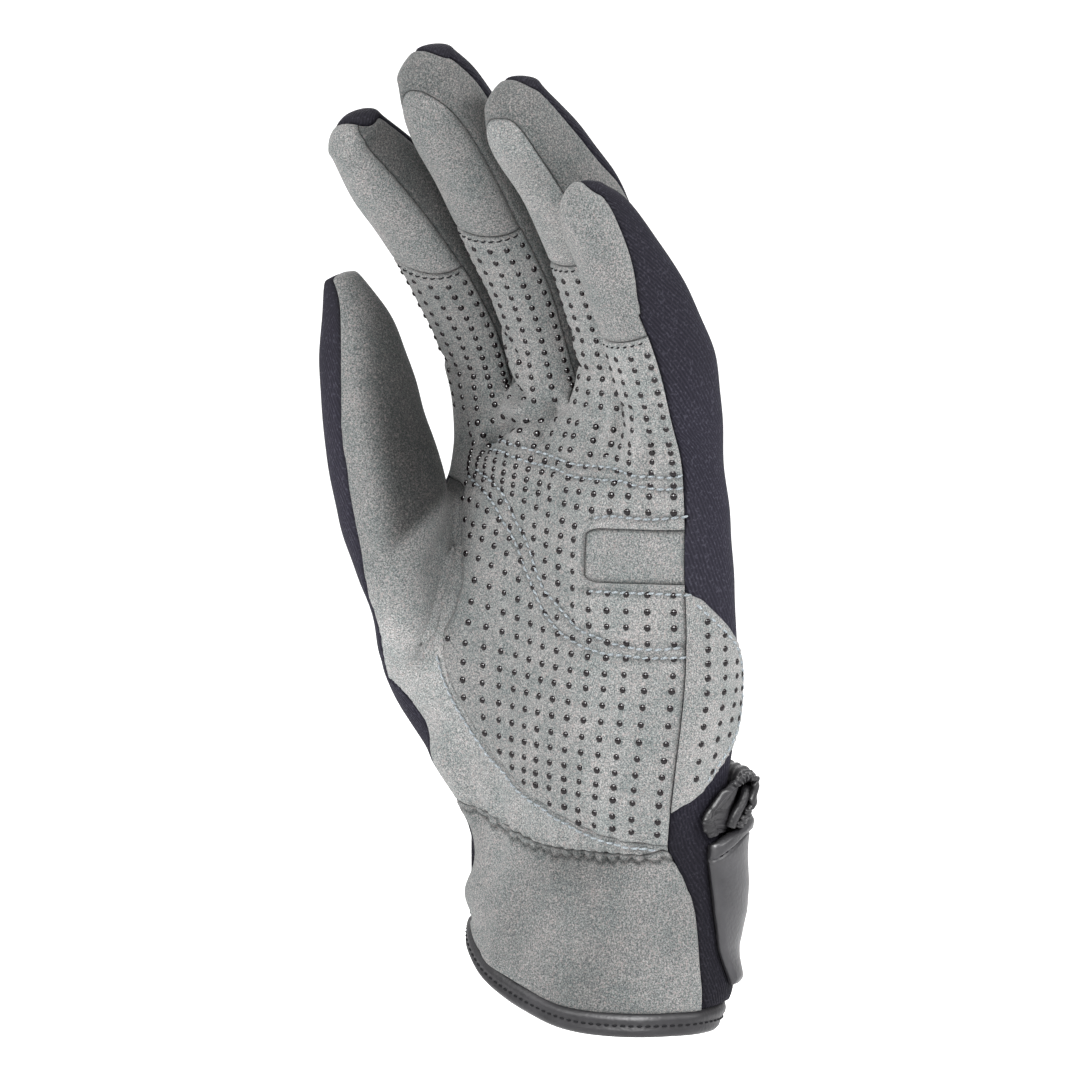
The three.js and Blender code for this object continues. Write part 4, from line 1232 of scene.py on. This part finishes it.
hemRow = [(c, 1.3) for c in np.linspace(0, 39.99, 41)]
stitchRow(dark, alongSkin(hemRow, fingerThread["step"]), fingerThread, 0.2, 0.05)
lipRow = [flapOn(u) for u in np.linspace(0.015, 0.985, 200)]
stitchRow(dark, evenly(*map(np.array, zip(*lipRow)), fingerThread["step"]), fingerThread, -0.05, 0.05)
pieces["pale_stitches"] = addMesh("pale_stitches", pale.vertices, pale.faces)
pieces["dark_stitches"] = addMesh("dark_stitches", dark.vertices, dark.faces)
print("stitches:", (len(pale.faces) + len(dark.faces)) // 38)


# Materials

def newGroup(name, inputs, outputs):
    tree = bpy.data.node_groups.new(name, "ShaderNodeTree")
    for label, kind, value in inputs:
        socket = tree.interface.new_socket(label, in_out="INPUT", socket_type=kind)
        if value is not None:
            socket.default_value = value
    for label, kind in outputs:
        tree.interface.new_socket(label, in_out="OUTPUT", socket_type=kind)
    return tree, tree.nodes.new("NodeGroupInput"), tree.nodes.new("NodeGroupOutput")


def node(tree, kind, **settings):
    made = tree.nodes.new(kind)
    for key, value in settings.items():
        setattr(made, key, value)
    return made


def wire(tree, source, target):
    tree.links.new(source, target)


def ramp(tree, source, stops):
    made = tree.nodes.new("ShaderNodeValToRGB")
    elements = made.color_ramp.elements
    while len(elements) < len(stops):
        elements.new(0.5)
    for element, (position, colour) in zip(elements, stops):
        element.position = position
        element.color = (*colour, 1)
    wire(tree, source, made.inputs["Fac"])
    return made.outputs["Color"]


def makeNap():
    # soft fibres of a size in millimetres, and slow clouds twenty times larger
    tree, given, out = newGroup("clothNap",
                                (("Vector", "NodeSocketVector", None), ("Fineness", "NodeSocketFloat", 2200)),
                                (("Fine", "NodeSocketFloat"), ("Clouds", "NodeSocketFloat"),
                                 ("Specks", "NodeSocketFloat")))
    fine = node(tree, "ShaderNodeTexNoise")
    fine.inputs["Detail"].default_value = 3
    fine.inputs["Roughness"].default_value = 0.65
    clouds = node(tree, "ShaderNodeTexNoise")
    clouds.inputs["Detail"].default_value = 4
    slower = node(tree, "ShaderNodeMath", operation="MULTIPLY")
    slower.inputs[1].default_value = 0.045
    specks = node(tree, "ShaderNodeTexNoise")
    specks.inputs["Detail"].default_value = 1
    other = node(tree, "ShaderNodeMath", operation="MULTIPLY")
    other.inputs[1].default_value = 0.62
    sharp = node(tree, "ShaderNodeMapRange")
    sharp.inputs["From Min"].default_value = 0.56
    sharp.inputs["From Max"].default_value = 0.68
    for made in (fine, clouds, specks):
        wire(tree, given.outputs["Vector"], made.inputs["Vector"])
    wire(tree, given.outputs["Fineness"], fine.inputs["Scale"])
    wire(tree, given.outputs["Fineness"], slower.inputs[0])
    wire(tree, given.outputs["Fineness"], other.inputs[0])
    wire(tree, slower.outputs[0], clouds.inputs["Scale"])
    wire(tree, other.outputs[0], specks.inputs["Scale"])
    wire(tree, specks.outputs["Fac"], sharp.inputs["Value"])
    wire(tree, fine.outputs["Fac"], out.inputs["Fine"])
    wire(tree, clouds.outputs["Fac"], out.inputs["Clouds"])
    wire(tree, sharp.outputs[0], out.inputs["Specks"])
    return tree


def makeRibs():
    # fine slanting ribs of a knit or a twill, broken up by the fibres
    tree, given, out = newGroup("knitRibs",
                                (("Vector", "NodeSocketVector", None), ("Ribs", "NodeSocketFloat", 31.0)),
                                (("Height", "NodeSocketFloat"),))
    turned = node(tree, "ShaderNodeMapping")
    turned.inputs["Rotation"].default_value = (0, 0, math.radians(17))
    wave = node(tree, "ShaderNodeTexWave", wave_type="BANDS", bands_direction="X")
    wave.inputs["Distortion"].default_value = 1.6
    wave.inputs["Detail"].default_value = 2
    wave.inputs["Detail Scale"].default_value = 1.5
    wire(tree, given.outputs["Vector"], turned.inputs["Vector"])
    wire(tree, turned.outputs[0], wave.inputs["Vector"])
    wire(tree, given.outputs["Ribs"], wave.inputs["Scale"])
    wire(tree, wave.outputs["Fac"], out.inputs["Height"])
    return tree


def makeGrain():
    # leather pores and creases
    tree, given, out = newGroup("leatherGrain",
                                (("Vector", "NodeSocketVector", None), ("Fineness", "NodeSocketFloat", 900)),
                                (("Height", "NodeSocketFloat"), ("Wear", "NodeSocketFloat")))
    cells = node(tree, "ShaderNodeTexVoronoi", feature="SMOOTH_F1")
    wear = node(tree, "ShaderNodeTexNoise")
    wear.inputs["Scale"].default_value = 130
    wear.inputs["Detail"].default_value = 5
    wire(tree, given.outputs["Vector"], cells.inputs["Vector"])
    wire(tree, given.outputs["Vector"], wear.inputs["Vector"])
    wire(tree, given.outputs["Fineness"], cells.inputs["Scale"])
    wire(tree, cells.outputs["Distance"], out.inputs["Height"])
    wire(tree, wear.outputs["Fac"], out.inputs["Wear"])
    return tree


napAndShade, ribs, grain = makeNap(), makeRibs(), makeGrain()


# painted shade in the stitched grooves beside the stitches
seamLines = [alongSkin(line, 0.4)[0] for line in pairA + pairB + windowStitches]
seamPoints = np.vstack(seamLines)
seamTree = KDTree(len(seamPoints))
for i, seamPoint in enumerate(seamPoints):
    seamTree.insert(seamPoint, i)
seamTree.balance()
seamShade = {"depth": 0.4, "reach": 0.65}

# painted shade over the whole of a piece, darkest on the gussets between the fingers
piecePaintedShade = {"gusset_index": 0.42, "gusset_middle": 0.6, "gusset_ring": 0.62, "index_tip": 0.88,
           "middle_tip": 0.78, "ring_tip": 0.95, "little_tip": 0.84, "palm_grip": 0.9, "palm_window": 0.95,
           "cuff_suede": 0.84}
# painted shadow on the inner side of the thumb
thumbShadow = {"depth": 0.7, "left": ((104, -52), (146, -59)), "low": ((-49, 103.5), (-35.5, 116)),
               "softLeft": 9, "softLow": 6, "weaker": ((132, 1), (165, 0.6))}
# painted light and shade, by height, or by distance across the palm from the thumb side
thenarPaintedLight = ((58, 1.0), (86, 1.2), (95, 1.0), (105, 0.82))
palmPaintedLight = ((-27, 0.96), (-10, 1.02), (0, 1.16), (12, 1.1))
backPaintedLight = ((0, 0.55), (40, 0.72), (70, 1.25), (79.23, 1.4), (136.67, 1.4), (150, 1.15), (200, 0.8))
toneLimits = (0.2, 1.4)
# random patches on the cuff, and painted shade across its middle
cuffPatchesAndShade = {"patches": 0.1, "across": 30, "seed": 21, "middle": 0.2, "at": -4, "width": 12}
pitShade = 0.45


def byTable(value, table):
    return np.interp(value, *zip(*table))


def layToneAndShade(obj, name):
    # a value at each point that the cloth's colour is multiplied by: painted light and shade, and random
    # patches on the cuff
    p = np.zeros(len(obj.data.vertices) * 3)
    obj.data.vertices.foreach_get("co", p)
    p = p.reshape(-1, 3) / mm
    # painted shade of the whole piece
    tone = np.full(len(p), piecePaintedShade.get(name, 1.0))
    across = (p[:, 0] + p[:, 1]) * math.sqrt(0.5)
    if name == "thumb_suede":
        # painted light and shade on the thumb by height, and a painted shadow darkening its inner side
        tone *= byTable(p[:, 2], thenarPaintedLight)
        a = np.clip((across - byTable(p[:, 2], thumbShadow["left"])) / thumbShadow["softLeft"], 0, 1)
        b = np.clip((p[:, 2] - byTable(across, thumbShadow["low"])) / thumbShadow["softLow"], 0, 1)
        weaker = byTable(p[:, 2], thumbShadow["weaker"])
        tone *= 1 - thumbShadow["depth"] * a * a * (3 - 2 * a) * b * b * (3 - 2 * b) * weaker
    # painted light across the palm
    if name == "palm_grip":
        tone *= byTable(across, palmPaintedLight)
    # painted light and shade on the navy back by height
    if name == "navy_back":
        tone *= byTable(p[:, 2], backPaintedLight)
    # random patches, and painted shade across the middle of the cuff
    if name == "cuff_suede":
        tone += cuffPatchesAndShade["patches"] * waves(p, cuffPatchesAndShade["across"], cuffPatchesAndShade["seed"])
        tone -= cuffPatchesAndShade["middle"] * np.exp(-((across - cuffPatchesAndShade["at"]) / cuffPatchesAndShade["width"]) ** 2)
    # painted shade in the pits below the gathered scallops
    if name in ("cuff_suede", "thumb_suede"):
        place = whereOf[name]
        tone *= 1 - pitShade * np.clip(gatherAt(place[:, 0], place[:, 1])[2], 0, 1) * (place[:, 0] > 19)
    # painted shade beside the stitches
    if name == "palm_grip":
        near = np.array([seamTree.find(q)[2] for q in p])
        tone *= 1 - seamShade["depth"] * np.exp(-(near / seamShade["reach"]) ** 2)
    layer = obj.data.attributes.new("napAndShade", "FLOAT", "POINT")
    layer.data.foreach_set("value", np.clip(tone, *toneLimits))


def newMaterial(name):
    material = bpy.data.materials.new(name)
    material.use_nodes = True
    tree = material.node_tree
    return material, tree, tree.nodes["Principled BSDF"]


def useGroup(tree, group, vector, value=None):
    made = node(tree, "ShaderNodeGroup", node_tree=group)
    wire(tree, vector, made.inputs["Vector"])
    if value is not None:
        made.inputs[1].default_value = value
    return made


def addBump(tree, shader, height, strength, distance):
    bump = node(tree, "ShaderNodeBump")
    bump.inputs["Strength"].default_value = strength
    bump.inputs["Distance"].default_value = distance
    wire(tree, height, bump.inputs["Height"])
    wire(tree, bump.outputs[0], shader.inputs["Normal"])


def blendColour(tree, how, factor, first, second):
    made = node(tree, "ShaderNodeMix", data_type="RGBA", blend_type=how)
    for value, socket in ((factor, made.inputs[0]), (first, made.inputs[6]), (second, made.inputs[7])):
        if isinstance(value, bpy.types.NodeSocket):
            wire(tree, value, socket)
        else:
            socket.default_value = value
    return made.outputs[2]


def suede(name, look):
    material, tree, shader = newMaterial(name)
    where = node(tree, "ShaderNodeTexCoord").outputs["Object"]
    fibres = useGroup(tree, napAndShade, where, look["fineness"])
    tone = ramp(tree, fibres.outputs["Fine"],
                ((0.35, look["dark"]), (0.51, look["middle"]), (0.68, look["light"])))
    clouds = ramp(tree, fibres.outputs["Clouds"], ((0.32, (0.76, 0.81, 0.80)), (0.68, (1, 0.985, 0.97))))
    mottled = blendColour(tree, "MULTIPLY", 1.0, tone, clouds)
    # painted light and shade, laid on the points
    toneAndShade = node(tree, "ShaderNodeAttribute", attribute_name="napAndShade")
    mottled = blendColour(tree, "MULTIPLY", 1.0, mottled, toneAndShade.outputs["Color"])
    specked = blendColour(tree, "MIX", fibres.outputs["Specks"], mottled, (*look["specks"], 1))
    specked = blendColour(tree, "MULTIPLY", 1.0, specked, toneAndShade.outputs["Color"])
    wire(tree, blendColour(tree, "MIX", look["speckShare"], mottled, specked), shader.inputs["Base Color"])
    shader.inputs["Roughness"].default_value = 0.93
    shader.inputs["Specular IOR Level"].default_value = 0.06
    shader.inputs["Sheen Weight"].default_value = look["sheen"]
    shader.inputs["Sheen Roughness"].default_value = 0.45
    addBump(tree, shader, fibres.outputs["Fine"], 0.75, 0.00024)
    return material


def knit(name, look):
    material, tree, shader = newMaterial(name)
    coordinates = node(tree, "ShaderNodeTexCoord")
    rib = useGroup(tree, ribs, coordinates.outputs["UV"], look["ribs"])
    fibres = useGroup(tree, napAndShade, coordinates.outputs["Object"], 2600)
    tone = ramp(tree, rib.outputs["Height"], ((0.1, look["dark"]), (0.9, look["light"])))
    specked = blendColour(tree, "MIX", fibres.outputs["Specks"], tone, (*look["specks"], 1))
    # painted light and shade, laid on the points
    toneAndShade = node(tree, "ShaderNodeAttribute", attribute_name="napAndShade")
    mixed = blendColour(tree, "MIX", 0.35, tone, specked)
    wire(tree, blendColour(tree, "MULTIPLY", 1.0, mixed, toneAndShade.outputs["Color"]), shader.inputs["Base Color"])
    shader.inputs["Roughness"].default_value = 0.82
    shader.inputs["Specular IOR Level"].default_value = 0.07
    shader.inputs["Sheen Weight"].default_value = look["sheen"]
    shader.inputs["Sheen Roughness"].default_value = 0.35
    shader.inputs["Sheen Tint"].default_value = (0.75, 0.75, 0.95, 1)
    both = node(tree, "ShaderNodeMath", operation="MULTIPLY_ADD")
    both.inputs[1].default_value = 0.5
    wire(tree, fibres.outputs["Fine"], both.inputs[0])
    wire(tree, rib.outputs["Height"], both.inputs[2])
    addBump(tree, shader, both.outputs[0], 0.5, 0.00025)
    return material


def leather(name, look):
    material, tree, shader = newMaterial(name)
    where = node(tree, "ShaderNodeTexCoord").outputs["Object"]
    pores = useGroup(tree, grain, where, look["fineness"])
    tone = ramp(tree, pores.outputs["Wear"], ((0.35, look["dark"]), (0.7, look["light"])))
    wire(tree, tone, shader.inputs["Base Color"])
    shine = node(tree, "ShaderNodeMapRange")
    shine.inputs["To Min"].default_value = look["roughness"] - 0.08
    shine.inputs["To Max"].default_value = look["roughness"] + 0.14
    wire(tree, pores.outputs["Wear"], shine.inputs["Value"])
    wire(tree, shine.outputs[0], shader.inputs["Roughness"])
    shader.inputs["Specular IOR Level"].default_value = look["gloss"]
    addBump(tree, shader, pores.outputs["Height"], 0.3, 0.00025)
    return material


def plainThing(name, look):
    material, tree, shader = newMaterial(name)
    where = node(tree, "ShaderNodeTexCoord").outputs["Object"]
    fibres = useGroup(tree, napAndShade, where, 5200)
    tone = ramp(tree, fibres.outputs["Fine"], ((0.35, look["dark"]), (0.65, look["light"])))
    wire(tree, tone, shader.inputs["Base Color"])
    shader.inputs["Roughness"].default_value = look["roughness"]
    shader.inputs["Coat Weight"].default_value = look["coat"]
    shader.inputs["Coat Roughness"].default_value = 0.12
    shader.inputs["Specular IOR Level"].default_value = look["gloss"]
    addBump(tree, shader, fibres.outputs["Fine"], look["bump"], 0.0001)
    return material


greySuede = suede("greySuede", {
    "fineness": 3100, "dark": (0.075, 0.088, 0.090), "middle": (0.212, 0.216, 0.217),
    "light": (0.44, 0.43, 0.425), "specks": (0.38, 0.31, 0.30), "speckShare": 0.4, "sheen": 0.12})
navyKnit = knit("navyKnit", {
    "ribs": 44.0, "dark": (0.0085, 0.0078, 0.0125), "light": (0.0145, 0.0135, 0.020),
    "specks": (0.055, 0.053, 0.07), "sheen": 0.02})
darkLeather = leather("darkLeather", {
    "fineness": 1300, "dark": (0.010, 0.0095, 0.011), "light": (0.024, 0.023, 0.026),
    "roughness": 0.44, "gloss": 0.28})
strapLeather = leather("strapLeather", {
    "fineness": 1300, "dark": (0.017, 0.0165, 0.019), "light": (0.034, 0.033, 0.037),
    "roughness": 0.4, "gloss": 0.42})
glossDots = plainThing("glossDots", {
    "dark": (0.004, 0.0025, 0.003), "light": (0.007, 0.004, 0.005), "roughness": 0.08,
    "coat": 0.0, "bump": 0.0, "gloss": 0.24})
paleCotton = plainThing("paleThread", {
    "dark": (0.07, 0.08, 0.09), "light": (0.47, 0.52, 0.55), "roughness": 0.7,
    "coat": 0.0, "bump": 0.6, "gloss": 0.08})
darkCotton = plainThing("darkThread", {
    "dark": (0.005, 0.005, 0.006), "light": (0.012, 0.012, 0.014), "roughness": 0.7,
    "coat": 0.0, "bump": 0.6, "gloss": 0.08})

# piece: material, slot, CAD nodes that it stands for
finishes = {
    "navy_back": (navyKnit, "neoprene",
                  ("back_panel", "index_back", "middle_back", "ring_back", "little_back", "thumb_back")),
    "palm_grip": (greySuede, "dotted_suede", ("palm_panel",)),
    "palm_window": (greySuede, "plain_suede", ("palm_inset",)),
    "thumb_suede": (greySuede, "plain_suede", ("thumb_panel",)),
    "cuff_suede": (greySuede, "plain_suede", ("cuff_panel",)),
    "index_tip": (greySuede, "plain_suede", ("index_tip_pad",)),
    "middle_tip": (greySuede, "plain_suede", ("middle_tip_pad",)),
    "ring_tip": (greySuede, "plain_suede", ("ring_tip_pad",)),
    "little_tip": (greySuede, "plain_suede", ("little_tip_pad",)),
    "gusset_index": (greySuede, "plain_suede", ("gusset_index_middle",)),
    "gusset_middle": (greySuede, "plain_suede", ("gusset_middle_ring",)),
    "gusset_ring": (greySuede, "plain_suede", ("gusset_ring_little",)),
    "side_grip": (greySuede, "dotted_suede", ("side_patch",)),
    "hem_binding": (darkLeather, "trim", ("cuff_binding",)),
    "strap": (strapLeather, "trim", ("strap_flap",)),
    "strap_fold": (darkLeather, "trim", ("strap_ruffle",)),
    "grip_dots": (glossDots, "dotted_suede", ()),
    "pale_stitches": (paleCotton, "plain_suede", ()),
    "dark_stitches": (darkCotton, "trim", ()),
}
for name, (material, slotName, nodes) in finishes.items():
    if material in (greySuede, navyKnit):
        layToneAndShade(pieces[name], name)
    pieces[name].data.materials.append(material)
    if nodes:
        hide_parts(*nodes)
print("materials set")
# Camera, light and floor

camera = {"azimuth": 45, "elevation": 4, "distance": 1300, "target": (-10.2, -10.2, 109), "scale": 4.35}


def addCamera():
    data = bpy.data.cameras.new("camera")
    made = bpy.data.objects.new("camera", data)
    bpy.context.scene.collection.objects.link(made)
    a, e = math.radians(camera["azimuth"]), math.radians(camera["elevation"])
    back = Vector((math.sin(a) * math.cos(e), -math.cos(a) * math.cos(e), math.sin(e)))
    made.location = (Vector(camera["target"]) + back * camera["distance"]) * mm
    made.rotation_mode = "QUATERNION"
    made.rotation_quaternion = (-back).to_track_quat("-Z", "Y")
    data.sensor_fit = "HORIZONTAL"
    data.sensor_width = 36
    data.lens = camera["scale"] * camera["distance"] / 1080 * 36
    data.clip_start, data.clip_end = 0.05, 30
    bpy.context.scene.camera = made


def addLight(name, azimuth, elevation, distance, size, power, diffuse=True):
    data = bpy.data.lights.new(name, "AREA")
    data.shape = "SQUARE"
    data.size = size
    data.energy = power
    made = bpy.data.objects.new(name, data)
    bpy.context.scene.collection.objects.link(made)
    a, e = math.radians(azimuth), math.radians(elevation)
    back = Vector((math.sin(a) * math.cos(e), -math.cos(a) * math.cos(e), math.sin(e)))
    made.location = Vector((0, 0, 0.11)) + back * distance
    made.rotation_mode = "QUATERNION"
    made.rotation_quaternion = (-back).to_track_quat("-Z", "Y")
    made.visible_diffuse = diffuse


def addFloor():
    # floor and wall in one pale sweep
    size, z, bend = 4.0, -0.045, 1.2
    section = [(-size, z)] + [(1.6 + bend * math.sin(a), z + bend * (1 - math.cos(a)))
                              for a in np.linspace(0, math.pi / 2, 24)] + [(1.6 + bend, 5.0)]
    away = Vector((-math.sin(math.radians(camera["azimuth"])), math.cos(math.radians(camera["azimuth"])), 0))
    side = Vector((away.y, -away.x, 0))
    vertices, faces = [], []
    for i, (far, up) in enumerate(section):
        vertices += [away * far + side * size * s + Vector((0, 0, up)) for s in (-1, 1)]
        if i:
            faces.append((2 * i - 2, 2 * i - 1, 2 * i + 1, 2 * i))
    mesh = bpy.data.meshes.new("floor")
    mesh.from_pydata(vertices, [], faces)
    mesh.polygons.foreach_set("use_smooth", [True] * len(faces))
    floor = bpy.data.objects.new("floor", mesh)
    bpy.context.scene.collection.objects.link(floor)
    material, tree, shader = newMaterial("floor")
    shader.inputs["Base Color"].default_value = (0.9, 0.9, 0.9, 1)
    shader.inputs["Roughness"].default_value = 0.9
    shader.inputs["Emission Color"].default_value = (1, 1, 1, 1)
    shader.inputs["Emission Strength"].default_value = 0.5
    mesh.materials.append(material)


addCamera()
addLight("left", -22, 30, 1.3, 0.5, 13)
addLight("right", 112, 28, 1.3, 0.5, 15)
addLight("front", 45, 16, 1.4, 0.6, 4.5)
addLight("top", 45, 76, 1.2, 0.5, 6)
addLight("back", 225, 35, 1.4, 0.6, 5)
addLight("spark", 34, 42, 1.3, 0.7, 85, diffuse=False)  # only for the shine on the dots and the strap
addFloor()
world = bpy.data.worlds.new("studio")
world.use_nodes = True
world.node_tree.nodes["Background"].inputs["Color"].default_value = (1, 1, 1, 1)
world.node_tree.nodes["Background"].inputs["Strength"].default_value = 0.42
bpy.context.scene.world = world
bpy.context.scene.view_settings.view_transform = "Standard"
